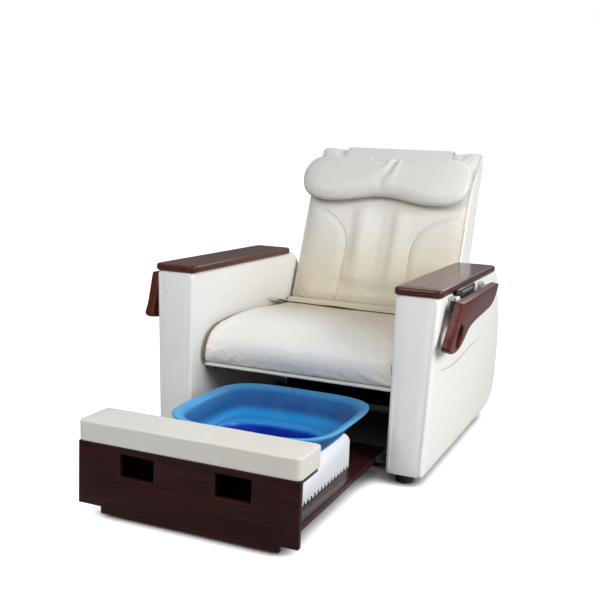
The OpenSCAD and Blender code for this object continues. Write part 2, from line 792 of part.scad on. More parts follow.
pillow_s = back_len - 165;
module head_pillow() {
  n = 18;
  k = 20;
  half = pillow_w / 2;
  slope = atan((front_t(pillow_s + 40) - front_t(pillow_s - 40)) / 80);
  lift = front_t(pillow_s) + pad_face - 0.5 - pillow_t / 2 / cos(slope);
  us = concat([-1, -0.985, -0.955, -0.9], [for (i = [1:n - 1]) -0.9 + 1.8 * i / n], [0.9, 0.955, 0.985, 1]);
  function plump(u) = pow(max(0.02, 1 - pow(abs(u), 8)), 0.42);
  function ring(u) = let (
    p = plump(u), h = pillow_h / 2 * p, t = pillow_t / 2 * (0.25 + 0.75 * p), arch = 31 * exp(-pow(u / 0.38, 2)), dip = 10 * exp(-pow(u / 0.25, 2))
  ) [for (q = squircle(1, 1, 2.5, k)) [u * half, q[0] * t, q[1] * h - min(0, q[1]) * arch - max(0, q[1]) * dip]];
  color([0.87, 0.86, 0.81]) in_back() translate([0, lift, pillow_s]) rotate([-slope, 0, 0])
    loft([for (u = us) ring(u)]);
}

// A strap from the pillow over the top of the backrest and down behind it, as [t, s] points
strap_t = 3;
strap_w = 430;
strap_gap = 0.6;
strap_drop = 110;
strap_top = back_len + strap_gap;
strap_down = [for (i = [0:5]) let (s = shell_top - i * strap_drop / 5) [shell_rear_t(s) + strap_gap, s]];
strap_bend = [for (t = [front_t(back_len) + 6, shell_rear_t(shell_top) - 4]) [t, strap_top + strap_t]];
module head_pillow_strap() {
  low = pillow_s + 58;
  up = [for (i = [0:8]) let (s = low + (back_len - 6 - low) * i / 8) [front_t(s) + pad_face - strap_gap, s]];
  inner = concat(up, [for (p = strap_bend) p + [p == strap_bend[0] ? 2 : -2, -strap_t]], strap_down);
  outer = concat([for (p = up) p - [strap_t, 0]], strap_bend, [for (p = strap_down) p + [strap_t, 0]]);
  color([0.86, 0.85, 0.8]) in_back() translate([-strap_w / 2, 0, 0]) along_x(strap_w)
    polygon(concat(inner, [for (i = [len(outer) - 1:-1:0]) outer[i]]));
}

// ---------------------------------------------------------------- recline actuator

module on_actuator() { translate([0, act_y, act_z]) rotate([act_angle, 0, 0]) children(); }

module actuator_tube() {
  color([0.1, 0.1, 0.1]) on_actuator() difference() {
    union() {
      translate([0, 0, 17]) cylinder(r = act_tube_r, h = act_tube_top - 17);
      rod_x(-12, 12, 12);
      box([-12, -9, 0], [12, 9, 18]);
      translate([0, -act_tube_r - 15, 22]) cylinder(r = 17, h = 66);
    }
    rod_x(-13, 13, act_pin_r + run);
    translate([0, 0, act_bore_z]) cylinder(r = act_rod_r + run, h = act_tube_top);
  }
}

module actuator_rod() {
  rod_foot = act_bore_z + act_stroke + 2.5;
  color("silver") on_actuator() difference() {
    union() {
      translate([0, 0, rod_foot]) cylinder(r = act_rod_r, h = act_len - eye_r - 1 - rod_foot);
      translate([0, 0, act_len]) rod_x(-9, 9, eye_r + 5);
    }
    translate([0, 0, act_len]) rod_x(-10, 10, eye_r);
  }
}

// ---------------------------------------------------------------- drawer

module drawer_front() {
  color([0.2, 0.08, 0.07]) difference() {
    box([-panel_half, panel_y, panel_z], [panel_half, panel_y + board_t, panel_z + panel_h]);
    both_sides() translate([hole_x, panel_y - 1, hole_z])
      box([-hole_w / 2, 0, -hole_h / 2], [hole_w / 2, board_t + 2, hole_h / 2]);
  }
}

module drawer_top() {
  x = panel_half - 4;
  y0 = panel_y + board_t;
  y1 = y0 + footrest_len + 4;
  r = 40;
  color([0.25, 0.1, 0.08]) translate([0, 0, top_z]) linear_extrude(top_t)
    polygon(concat([[-x, y0], [x, y0]], arc([x - r, y1 - r], r, 0, 90), arc([-x + r, y1 - r], r, 90, 180)));
}

cheek_x = stand_half + 1;
cheek_y = [panel_y + board_t, stand_front - 5];
module cheek_bolts(grow) {
  for (y = [cheek_y[0] + 22, cheek_y[1] - 22]) translate([cheek_x + board_t / 2, y, base_z])
    translate([0, 0, -1]) cylinder(r = 2 + grow, h = board_t + 30);
}

module drawer_base() {
  color([0.3, 0.12, 0.1]) difference() {
    box([-base_half, panel_y + board_t, base_z], [base_half, base_rear, deck_z]);
    both_sides() cheek_bolts(0);
  }
}

module drawer_plinth() {
  y = panel_y + board_t;
  color([0.3, 0.13, 0.1]) box([-plinth_half, y, plinth_z], [plinth_half, y + board_t, base_z]);
}

module drawer_cheeks() {
  color([0.25, 0.1, 0.08]) difference() {
    union() {
      both_sides() box([cheek_x, cheek_y[0], deck_z], [cheek_x + board_t, cheek_y[1], top_z]);
      box([-cheek_x - 1, cheek_y[1] - board_t, deck_z], [cheek_x + 1, cheek_y[1], top_z]);
    }
    both_sides() cheek_bolts(0);
  }
}

// Rings are [height, how far the side is drawn in]; the top closes in two more, flatter rings
module footrest_cushion() {
  half = panel_half - 4;
  front_r = 12;
  rear_r = 22;
  h = footrest_t;
  rows = [[0, 3], [4, 0.6], [10, 0], [h / 2, -0.8], [h - 14, 0], [h - 8, 2], [h - 4, 5.5], [h - 1.5, 11]];
  function run_x(x0, x1, y) = [for (i = [1:5]) [x0 + (x1 - x0) * i / 6, y]];
  function side(d) = let (
    y0 = front_r + d, xf = half - y0, y1 = footrest_len - rear_r - d, xr = half - rear_r - d
  ) concat(
    arc([xr, y1], rear_r, 0, 90, 4), run_x(xr, -xr, footrest_len - d), arc([-xr, y1], rear_r, 90, 180, 4),
    arc([-xf, y0], front_r, 180, 270, 3), run_x(-xf, xf, d), arc([xf, y0], front_r, 270, 360, 3)
  );
  function lid(k) = [
    for (p = side(11)) let (mid = footrest_len / 2)
    [p[0] * (1 - 0.12 * k), mid + (p[1] - mid) * (1 - k), h - 1.5 + 1.5 * k]
  ];
  color([0.85, 0.84, 0.8]) translate([0, panel_y + 1, footrest_z]) loft(concat(
    [for (r = rows) [for (p = side(max(0, r[1]))) [p[0], p[1], r[0]]]], [lid(0.45), lid(0.8)]
  ));
}

// Moulded stand: rounded shoulders, a recess for the basin's foot well, a castellated lower edge
module basin_stand() {
  shoulder = 34;
  front_r = 12;
  wall = 8;
  tooth = 12;
  tooth_h = 9;
  roof = 6;
  y = [stand_front, stand_rear];
  x = stand_half;
  z = stand_top;
  color([0.87, 0.88, 0.95]) difference() {
    intersection() {
      translate([-x, 0, 0]) along_x(2 * x) polygon(concat(
        [[y[0], deck_z], [y[1], deck_z]], arc([y[1] - shoulder, z - shoulder], shoulder, 0, 90),
        arc([y[0] + front_r, z - front_r], front_r, 90, 180)
      ));
      translate([0, y[1] + 1, 0]) rotate([90, 0, 0]) linear_extrude(y[1] - y[0] + 2) polygon(concat(
        [[-x, deck_z - 1], [x, deck_z - 1]], arc([x - shoulder, z - shoulder], shoulder, 0, 90),
        arc([-x + shoulder, z - shoulder], shoulder, 90, 180)
      ));
    }
    translate([basin_shift, well_mid_y, z - well_deep - roof]) linear_extrude(well_deep + roof + 1)
      polygon(squircle(well_x + 3, well_y + 3, 3, 48));
    box([-x + wall, y[0] + wall, deck_z - 1], [x - wall, y[1] - wall, z - well_deep - roof - wall]);
    for (at = [y[0] + 16:2 * tooth:y[1] - 20])
      box([-x - 1, at, deck_z - 1], [x + 1, at + tooth, deck_z + tooth_h]);
    for (at = [-x + 18:2 * tooth:x - 24])
      box([at, y[1] - wall - 1, deck_z - 1], [at + tooth, y[1] + 1, deck_z + tooth_h]);
  }
}

module wheel_forks() {
  color([0.15, 0.15, 0.15]) both_sides() for (y = wheel_y) difference() {
    union() {
      for (x = [wheel_x - wheel_w / 2 - 4, wheel_x + wheel_w / 2 + 1]) translate([x, 0, 0]) along_x(3) {
        translate([y, wheel_r]) circle(9);
        translate([y - 9, wheel_r]) square([18, base_z - 2 - wheel_r]);
      }
      box([wheel_x - 22, y - 20, base_z - 3], [wheel_x + 22, y + 20, base_z]);
    }
    translate([0, y, wheel_r]) rod_x(wheel_x - 20, wheel_x + 20, axle_r);
  }
}

module wheel_axles() {
  color("silver") both_sides() for (y = wheel_y) translate([0, y, wheel_r]) {
    rod_x(wheel_x - wheel_w / 2 - 5, wheel_x + wheel_w / 2 + 5, axle_r);
  }
}

module drawer_wheel(side, y) {
  color([0.08, 0.08, 0.08]) on_side(side) translate([0, y, wheel_r]) difference() {
    rod_x(wheel_x - wheel_w / 2, wheel_x + wheel_w / 2, wheel_r);
    rod_x(wheel_x - wheel_w, wheel_x + wheel_w, axle_r + run);
  }
}

module drawer_guide_shoes() {
  reach = half_gap - base_half - 3 - 0.5;
  color([0.9, 0.9, 0.88]) both_sides() for (y = [40, 100])
    box([base_half, y, track_z - 8], [base_half + reach, y + 36, track_z + 8]);
}

// Rings from the underside of the well up the outside, over the rim and down the inside
module foot_basin() {
  n = 48;
  deep = -well_deep;
  up = basin_up;
  function well(z, d, k) = [z, well_x - d, well_y - d + 2, k, well_mid_y];
  function wall_ring(z, dx, dy, k, y) = [z, rim_x - dx, rim_y - dy, k, y];
  outside = [
    well(deep, 12, 2.6), well(deep + 4, 7, 2.8), well(-1, 0, 3), well(0, -1, 3),
    wall_ring(0.2, 62, 82, 3.6, floor_y), wall_ring(6, 54, 72, 4, floor_y + 1),
    wall_ring(32, 40, 50, 4.1, floor_y + 6), wall_ring(up - 20, 26, 28, 4.2, basin_y - 3),
    wall_ring(up - 8, 8, 8, 4, basin_y), wall_ring(up - 5, 0, 0, 4, basin_y)
  ];
  inside = [
    wall_ring(up - 1.5, -0.5, -0.5, 4, basin_y), wall_ring(up, 3, 3, 4, basin_y),
    wall_ring(up - 2, 14, 14, 4, basin_y), wall_ring(up - 8, 27, 30, 4.1, basin_y - 2),
    wall_ring(36, 45, 56, 4, floor_y + 6), wall_ring(12, 58, 77, 3.8, floor_y + 1),
    wall_ring(5, 68, 88, 3.4, floor_y), well(3, 6, 3), well(-4, 9, 2.9),
    well(deep + 12, 14, 2.7), well(deep + 5, 24, 2.5)
  ];
  color([0.05, 0.47, 0.82]) translate([basin_shift, 0, basin_z]) loft([
    for (r = concat(outside, inside)) [for (p = squircle(r[1], r[2], r[3], n)) [p[0], r[4] + p[1], r[0]]]
  ]);
}

// ---------------------------------------------------------------- side trays

// A tray hangs from its hinge; its own axes are u (out from the hinge), Y and w (down from the hinge)
module on_tray() { translate([hinge_x, 0, hinge_z]) rotate([0, tray_lean, 0]) children(); }

// Its outline is [Y, w]: the straight top edge, the round rear end, the thin arm of the board, the
// round head about the cup hole, and the front edge back up to the top
tray_front = 62;
tray_rear = 566;
tray_neck = 73;
tray_head = 148;
tray_outline = concat(
  [[tray_front, tray_drop], [tray_rear, tray_drop]],
  cubic([tray_rear, tray_drop + 4], [tray_rear - 6, 38], [535, tray_neck - 1], [462, tray_neck], 8),
  cubic([450, tray_neck + 1], [380, tray_neck + 7], [250, tray_neck + 7], [205, 98], 6),
  cubic([200, 101], [165, 118], [150, tray_head + 2], [70, tray_head], 8),
  cubic([60, tray_head - 1], [20, tray_head - 2], [-6, tray_head - 12], [-3, tray_head - 24], 5),
  cubic([0, 118], [26, 90], [40, 40], [tray_front, tray_drop], 6)
);

module swing_tray(side) {
  color([0.32, 0.11, 0.09]) on_side(side) on_tray() difference() {
    translate([tray_off, 0, 0]) along_x(tray_t) polygon([for (p = tray_outline) [p[0], -p[1]]]);
    translate([0, cup_y, -cup_w]) rod_x(tray_off - 1, tray_off + tray_t + 1, cup_d / 2);
  }
}

// Each hinge has three knuckles: the outer two stand on the arm, the middle one on the tray's leaf
hinge_third = tray_hinge_len / 3;
knuckle_gap = 0.5;
module hinge_rod(y, len_y, r) {
  translate([hinge_x, y, hinge_z]) rotate([-90, 0, 0]) cylinder(r = r, h = len_y);
}

module tray_hinge_brackets() {
  face = half_gap + arm_w;
  plate = 3;
  up = knuckle_r - 1;
  knuckle_len = hinge_third - knuckle_gap;
  color("silver") both_sides() difference() {
    for (y = tray_hinge_y) {
      for (y0 = [y, y + tray_hinge_len - knuckle_len]) {
        hinge_rod(y0, knuckle_len, knuckle_r);
        box([face - plate, y0, hinge_z - up], [hinge_x - 2, y0 + knuckle_len, hinge_z + up]);
      }
      box([face - plate, y, hinge_z - 30], [face + plate, y + tray_hinge_len, hinge_z + up]);
    }
    on_arm_face() box([-60, -10, -10], [0, arm_len, arm_h + 100]);
    for (y = tray_hinge_y) hinge_rod(y - 1, tray_hinge_len + 2, hinge_pin_r);
  }
}

module tray_hinge_pins() {
  color("silver") both_sides() for (y = tray_hinge_y) hinge_rod(y - 1, tray_hinge_len + 2, hinge_pin_r);
}

module tray_leaves(side) {
  leaf_t = 1.6;
  color("silver") on_side(side) for (y = tray_hinge_y) on_tray() difference() {
    union() {
      translate([0, y + hinge_third, 0]) rotate([-90, 0, 0]) cylinder(r = knuckle_r, h = hinge_third);
      box([0, y + hinge_third, -knuckle_r], [tray_off - leaf_t + 0.1, y + 2 * hinge_third, -2]);
      box([tray_off - leaf_t, y, -32], [tray_off, y + tray_hinge_len, -tray_drop]);
    }
    translate([0, y, 0]) rotate([-90, 0, 0]) cylinder(r = hinge_pin_r + run, h = tray_hinge_len);
  }
}

// The origin is under the middle of the whole chair, so the front of the arms lies this far from it
function back_rear_y(p) = back_y + p[1] * sin(back_angle) + p[0] * cos(back_angle);
strap_rear = max([for (p = concat([for (q = strap_down) q + [strap_t, 0]], strap_bend)) back_rear_y(p)]);
arm_front = (drawer_out - strap_rear) / 2;
module in_chair() { translate([0, arm_front, 0]) children(); }

in_chair() arm_upholstery(-1);  // left_arm_upholstery
in_chair() arm_upholstery(1);  // right_arm_upholstery
in_chair() arm_frame(-1);  // left_arm_frame
in_chair() arm_frame(1);  // right_arm_frame
in_chair() arm_front_panels();
in_chair() armrest_cap(-1);  // left_armrest_cap
in_chair() armrest_cap(1);  // right_armrest_cap
in_chair() cap_bolts();
in_chair() feet();
in_chair() foot_bolts();
in_chair() seat_rails();
in_chair() seat_rail_bolts();
in_chair() seat_board();
in_chair() seat_cushion();
in_chair() rear_cross_beam();
in_chair() base_cross_bar();
in_chair() back_hinge_pins();
in_chair() drawer_tracks();
in_chair() tray_hinge_brackets();
in_chair() tray_hinge_pins();
in_chair() control_holder();
in_chair() control_box();
in_chair() power_inlet();
in_chair() actuator_base_pin();
in_chair() back_frame();
in_chair() back_shell();
in_chair() back_pad();
in_chair() massage_track();
in_chair() actuator_lever_pin();
in_chair() massage_carriage();
in_chair() kneading_rollers(roller_s[1]);  // upper_kneading_rollers
in_chair() kneading_rollers(roller_s[0]);  // lower_kneading_rollers
in_chair() head_pillow();
in_chair() head_pillow_strap();
in_chair() actuator_tube();
in_chair() actuator_rod();
in_chair() drawer_front();
in_chair() drawer_top();
in_chair() drawer_base();
in_chair() drawer_plinth();
in_chair() drawer_cheeks();
in_chair() footrest_cushion();
in_chair() basin_stand();
in_chair() wheel_forks();
in_chair() wheel_axles();
in_chair() drawer_guide_shoes();
in_chair() drawer_wheel(-1, wheel_y[0]);  // wheel_front_left
in_chair() drawer_wheel(1, wheel_y[0]);  // wheel_front_right
in_chair() drawer_wheel(-1, wheel_y[1]);  // wheel_rear_left
in_chair() drawer_wheel(1, wheel_y[1]);  // wheel_rear_right
in_chair() foot_basin();
in_chair() swing_tray(-1);  // left_tray
in_chair() swing_tray(1);  // right_tray
in_chair() tray_leaves(-1);  // left_tray_leaves
in_chair() tray_leaves(1);  // right_tray_leaves
in_chair() hand_control();
in_chair() control_button(0);  // button_recline
in_chair() control_button(1);  // button_raise
in_chair() control_button(2);  // button_massage
in_chair() control_button(3);  // button_power
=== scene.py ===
# A pedicure spa chair: an upholstered massage armchair whose foot-bath drawer rolls out from under the
# seat. Metres, +Z up. The sitter faces -Y, and the hand control is on the +X arm.
import json
from math import cos, exp, hypot, pi, radians, sin, sqrt

import bmesh
import bpy
import numpy
from mathutils import Matrix, Vector, noise
from mathutils.bvhtree import BVHTree


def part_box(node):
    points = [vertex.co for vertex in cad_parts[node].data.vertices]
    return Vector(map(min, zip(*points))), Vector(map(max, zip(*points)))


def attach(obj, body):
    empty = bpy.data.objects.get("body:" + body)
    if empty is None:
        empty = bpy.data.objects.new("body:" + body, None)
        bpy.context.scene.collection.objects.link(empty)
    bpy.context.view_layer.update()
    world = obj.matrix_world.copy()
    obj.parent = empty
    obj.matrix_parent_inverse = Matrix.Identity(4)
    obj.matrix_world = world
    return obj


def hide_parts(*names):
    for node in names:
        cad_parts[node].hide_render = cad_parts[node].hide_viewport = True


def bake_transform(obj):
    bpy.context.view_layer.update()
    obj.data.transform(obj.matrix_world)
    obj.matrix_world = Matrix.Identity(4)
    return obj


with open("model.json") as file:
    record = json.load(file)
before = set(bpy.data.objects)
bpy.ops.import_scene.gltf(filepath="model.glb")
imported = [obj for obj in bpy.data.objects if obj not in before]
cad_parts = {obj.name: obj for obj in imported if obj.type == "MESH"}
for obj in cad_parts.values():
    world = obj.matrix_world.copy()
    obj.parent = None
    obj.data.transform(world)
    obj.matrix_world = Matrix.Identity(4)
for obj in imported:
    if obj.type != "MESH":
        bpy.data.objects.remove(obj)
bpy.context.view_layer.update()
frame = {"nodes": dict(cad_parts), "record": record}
scene = bpy.context.scene
front_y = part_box("arm_front_panels")[0][1]


# ---------------------------------------------------------------- the room
# A pale floor that runs out of sight with a painted shadow under the chair, a white world, and three large
# soft lamps: one high in front, one beside the sitter's left hand and a weaker one behind.

def put(tree, kind, inputs={}, **settings):
    """One shader node: settings are its own properties, inputs its sockets by name or number.

    A node given as an input stands for its first output, and a colour may leave out its alpha.
    """
    node = tree.nodes.new("ShaderNode" + kind)
    for key, value in settings.items():
        setattr(node, key, value)
    for key, value in inputs.items():
        socket = node.inputs[key]
        if isinstance(value, bpy.types.Node):
            value = value.outputs[0]
        if isinstance(value, bpy.types.NodeSocket):
            tree.links.new(value, socket)
        else:
            socket.default_value = (*value, 1)[:4] if socket.type == "RGBA" else value
    return node


def product(tree, a, b, plus=0.0):
    return put(tree, "Math", {0: a, 1: b, 2: plus}, operation="MULTIPLY_ADD")


def spread(tree, value, low, high, start=0.0, end=1.0, course="LINEAR"):
    """The value's way from low to high, as a way from start to end."""
    return put(tree, "MapRange", {0: value, 1: low, 2: high, 3: start, 4: end}, interpolation_type=course)


def between_colours(tree, mask, first, second, how="MIX"):
    return put(tree, "Mix", {0: mask, 6: first, 7: second}, data_type="RGBA", blend_type=how).outputs[2]


def new_material(name):
    """A material, its empty node tree and the place of each point on its object."""
    material = bpy.data.materials.new(name)
    material.use_nodes = True
    tree = material.node_tree
    tree.nodes.clear()
    return material, tree, put(tree, "TexCoord").outputs["Object"]


def finish(material, colour, rough, relief=None, **sockets):
    """The material's shader. relief is a bump's strength, depth and height; sockets has _ for spaces."""
    tree = material.node_tree
    inputs = {"Base Color": colour, "Roughness": rough}
    if relief:
        inputs["Normal"] = put(tree, "Bump", dict(zip(("Strength", "Distance", "Height"), relief)))
    inputs.update((key.replace("_", " "), value) for key, value in sockets.items())
    put(tree, "OutputMaterial", {"Surface": put(tree, "BsdfPrincipled", inputs)})
    return material


def floor_material():
    """Pale grey paper, lifted to plain white for the camera except close to the chair, where a painted shadow darkens
    it: near black between the arms, and by ambient occlusion beside the chair.
    """
    material, tree, place = new_material("studio_floor")
    left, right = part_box("left_arm_upholstery"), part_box("right_arm_upholstery")
    # painted shadow: the floor between the arms is coloured near black
    low = Vector((left[1][0], left[0][1] + 0.13, 0))  # the floor between the arms is dark
    high = Vector((right[0][0], right[1][1], 0))
    gap = put(tree, "VectorMath", {0: place, 1: (low + high) / 2}, operation="SUBTRACT")
    for job, by in (("ABSOLUTE", low), ("SUBTRACT", (high - low) / 2), ("MAXIMUM", (0, 0, 0))):
        gap = put(tree, "VectorMath", {0: gap, 1: by}, operation=job)
    gap = put(tree, "VectorMath", {0: gap}, operation="LENGTH").outputs["Value"]
    outside = spread(tree, gap, 0.0, 0.09, course="SMOOTHSTEP")
    # painted shadow: ambient occlusion darkens the floor's colour beside the chair
    near = put(tree, "AmbientOcclusion", {"Distance": 0.14}, samples=12)
    clear = product(tree, outside, spread(tree, near.outputs["AO"], 0.10, 0.62, course="SMOOTHSTEP"))
    shade = between_colours(tree, clear, (0.07, 0.07, 0.072), (0.42, 0.42, 0.425))
    lift = product(tree, put(tree, "LightPath").outputs["Is Camera Ray"], clear)
    return finish(material, shade, 0.9, Specular_IOR_Level=0.1, Emission_Color=(1, 1, 1), Emission_Strength=lift)


def make_floor():
    mesh = bpy.data.meshes.new("studio_floor")
    reach = 30
    corners = [(-reach, -reach, 0), (reach, -reach, 0), (reach, reach, 0), (-reach, reach, 0)]
    mesh.from_pydata(corners, [], [(0, 1, 2, 3)])
    floor = bpy.data.objects.new("studio_floor", mesh)
    mesh.materials.append(floor_material())
    scene.collection.objects.link(floor)


def make_world():
    """Seen as plain white; it lights the chair mostly from above."""
    world = bpy.data.worlds.new("studio")
    world.use_nodes = True
    tree = world.node_tree
    tree.nodes.clear()
    up = put(tree, "SeparateXYZ", {0: put(tree, "TexCoord")}).outputs["Z"]
    even = spread(tree, up, -0.05, 0.7, 0.14, 0.46, "SMOOTHSTEP")
    seen = put(tree, "LightPath").outputs["Is Camera Ray"]
    strength = put(tree, "Math", {0: seen, 1: even}, operation="MAXIMUM")
    put(tree, "OutputWorld", {"Surface": put(tree, "Background", {"Color": (1, 1, 1), "Strength": strength})})
    scene.world = world


def soft_lamp(name, place, size, watts, aim):
    light = bpy.data.lights.new(name, "AREA")
    light.shape = "DISK"
    light.size = size
    light.energy = watts
    lamp = bpy.data.objects.new(name, light)
    turned = (Vector(aim) - Vector(place)).to_track_quat("-Z", "Y").to_matrix().to_4x4()
    lamp.matrix_world = Matrix.Translation(place) @ turned
    scene.collection.objects.link(lamp)


def make_camera():
    """Standing height and distance of someone who looks at the chair from its front right."""
    yaw, pitch, roll = radians(22.82), radians(9.26), radians(2.42)
    back = Vector((sin(yaw) * cos(pitch), -cos(yaw) * cos(pitch), sin(pitch)))
    right = (-back).cross(Vector((0, 0, 1))).normalized()
    up = right.cross(-back)
    turned = Matrix((right * cos(roll) + up * sin(roll), up * cos(roll) - right * sin(roll), back)).transposed()
    camera = bpy.data.cameras.new("camera")
    camera.lens = 54.537
    camera.sensor_width = 36
    view = bpy.data.objects.new("camera", camera)
    view.matrix_world = Matrix.Translation((1.0665, front_y - 2.4481, 0.9526)) @ turned.to_4x4()
    scene.collection.objects.link(view)
    scene.camera = view


make_floor()
make_world()
soft_lamp("key_lamp", (-0.6, -3.0, 2.7), 2.2, 62, (0, 0, 0.4))
soft_lamp("side_lamp", (3.2, -0.7, 1.8), 2.0, 96, (0, 0, 0.4))
soft_lamp("rear_lamp", (0.6, 3.2, 2.6), 2.4, 34, (0, 0.2, 0.6))
make_camera()
scene.view_settings.view_transform = "Standard"


# ---------------------------------------------------------------- arms
# Each arm is a plywood box padded with thin foam and wrapped in ivory vinyl. The cover is sewn up the two
# front edges to a separate padded front panel, and a gold line is embroidered on its outer face.

def group(name, inputs):
    """An empty shader node group for a finish; each input is a name and its default."""
    tree = bpy.data.node_groups.new(name, "ShaderNodeTree")
    for label, default in inputs.items():
        kind = "Float"
        if isinstance(default, tuple):
            kind = "Color" if len(default) == 4 else "Vector"
        socket = tree.interface.new_socket(label, in_out="INPUT", socket_type="NodeSocket" + kind)
        if kind != "Vector":
            socket.default_value = default
    for label, kind in (("Colour", "Color"), ("Roughness", "Float"), ("Height", "Float")):
        tree.interface.new_socket(label, in_out="OUTPUT", socket_type="NodeSocket" + kind)
    return tree, tree.nodes.new("NodeGroupInput").outputs


def group_out(tree, colour, rough, height):
    out = tree.nodes.new("NodeGroupOutput")
    for label, value in (("Colour", colour), ("Roughness", rough), ("Height", height)):
        tree.links.new(value, out.inputs[label])
    return tree


def cloudy(tree, place, scale, detail, twist=0.0):
    return put(tree, "TexNoise", {"Vector": place, "Scale": scale, "Detail": detail, "Distortion": twist})


def leather_grain_group():
    """Embossed pebble grain, pores, faint stretch marks and a slow drift of colour."""
    tree, given = group("leather_grain", {
        "Vector": (0, 0, 0), "Colour": (0.8, 0.8, 0.76, 1), "Shade": (0.6, 0.55, 0.45, 1), "Grain": 700.0,
        "Wear": 0.1,
    })
    place = given["Vector"]
    pebble = put(tree, "TexVoronoi", {"Vector": place, "Scale": given["Grain"]}, feature="SMOOTH_F1")
    pores = cloudy(tree, place, 260.0, 3.0)
    marks = cloudy(tree, place, 22.0, 5.0, 1.4)
    dirt = spread(tree, product(tree, cloudy(tree, place, 3.0, 2.0), marks), 0.16, 0.42)
    worn = between_colours(tree, product(tree, dirt, given["Wear"]), given["Colour"], given["Shade"])
    rough = spread(tree, marks, 0.3, 0.7, 0.38, 0.56)
    height = product(tree, marks, 1.6, product(tree, pores, 0.5, pebble))
    return group_out(tree, worn, rough.outputs[0], height.outputs[0])


leather_grain = leather_grain_group()


def vinyl(name, colour, shade, grain=700.0, wear=0.12, bump=0.12, coat=0.05):
    material, tree, place = new_material(name)
    skin = put(tree, "Group", {
        "Vector": place, "Colour": colour, "Shade": shade, "Grain": grain, "Wear": wear,
    }, node_tree=leather_grain).outputs
    return finish(
        material, skin["Colour"], skin["Roughness"], (bump, 0.0006, skin["Height"]),
        Coat_Weight=coat, Coat_Roughness=0.35, Specular_IOR_Level=0.4,
    )


def cubic(a, b, c, d, n):
    points = []
    for i in range(n + 1):
        t = i / n
        w = ((1 - t) ** 3, 3 * t * (1 - t) ** 2, 3 * t * t * (1 - t), t ** 3)
        points.append(tuple(sum(w[k] * p[j] for k, p in enumerate((a, b, c, d))) for j in range(2)))
    return points


def arc(cx, cy, r, a0, a1, n=6):
    turns = [radians(a0 + (a1 - a0) * i / n) for i in range(n + 1)]
    return [(cx + r * cos(a), cy + r * sin(a)) for a in turns]


def rounded_box(x0, x1, y0, y1, r, n):
    """A rectangle with round corners, counter-clockwise from its lower right one."""
    corners = ((x1 - r, y0 + r, 270), (x1 - r, y1 - r, 0), (x0 + r, y1 - r, 90), (x0 + r, y0 + r, 180))
    return [p for cx, cy, a in corners for p in arc(cx, cy, r, a, a + 90, n)]


def even_points(outline, step):
    """The closed outline again, with its points a step apart."""
    loop = list(outline) + [outline[0]]
    lengths = [0.0]
    for a, b in zip(loop, loop[1:]):
        lengths.append(lengths[-1] + hypot(b[0] - a[0], b[1] - a[1]))
    count = max(8, round(lengths[-1] / step))
    points = []
    k = 0
    for i in range(count):
        at = lengths[-1] * i / count
        while lengths[k + 1] < at:
            k += 1
        f = (at - lengths[k]) / max(1e-9, lengths[k + 1] - lengths[k])
        points.append(tuple(loop[k][j] + f * (loop[k + 1][j] - loop[k][j]) for j in range(2)))
    return points


def drawn_in(outline, by):
    """The outline, counter-clockwise, moved inwards along its own normals."""
    moved = []
    for i, p in enumerate(outline):
        a, b = outline[i - 1], outline[(i + 1) % len(outline)]
        dx, dy = b[0] - a[0], b[1] - a[1]
        size = hypot(dx, dy) or 1
        moved.append((p[0] - dy / size * by, p[1] + dx / size * by))
    return moved


def dress(piece, body, slot, material, nodes=()):
    """Give the piece its finish and body, and let it stand for the nodes; slot is not used."""
    mesh = piece.data
    mesh.polygons.foreach_set("use_smooth", [True] * len(mesh.polygons))
    mesh.materials.clear()
    mesh.materials.append(material)
    mesh.update()
    if body:
        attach(piece, body)
    if nodes:
        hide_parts(*nodes)
    return piece


def add_piece(name, skin, body, slot, material, *nodes):
    """A new piece from its skin, which is a list of points and one of faces."""
    mesh = bpy.data.meshes.new(name)
    mesh.from_pydata([tuple(p) for p in skin[0]], [], skin[1])
    piece = bpy.data.objects.new(name, mesh)
    scene.collection.objects.link(piece)
    return dress(piece, body, slot, material, nodes)


def skin_rings(rings, closed_ends=True):
    """Faces over rings of equally many points; each end closes in one point or stays open."""
    points = [p for ring in rings for p in ring]
    n = len(rings[0])
    faces = []
    for i in range(len(rings) - 1):
        for j in range(n):
            a, b = i * n + j, i * n + (j + 1) % n
            faces.append((a, b, b + n, a + n))
    if closed_ends:
        for ring, start, flip in ((rings[0], 0, True), (rings[-1], (len(rings) - 1) * n, False)):
            points.append(sum((Vector(p) for p in ring), Vector()) / n)
            for j in range(n):
                a, b = start + j, start + (j + 1) % n
                faces.append((b, a, len(points) - 1) if flip else (a, b, len(points) - 1))
    return points, faces


def from_rim(points, outline):
    """How far each 2-D point lies from the closed outline."""
    a = numpy.array(outline)
    b = numpy.roll(a, -1, axis=0)
    p = numpy.array(points)[:, None, :]
    run = ((b - a) ** 2).sum(1)
    f = numpy.clip(((p - a) * (b - a)).sum(2) / run, 0, 1)[:, :, None]
    return numpy.sqrt((((a + f * (b - a)) - p) ** 2).sum(2).min(1))


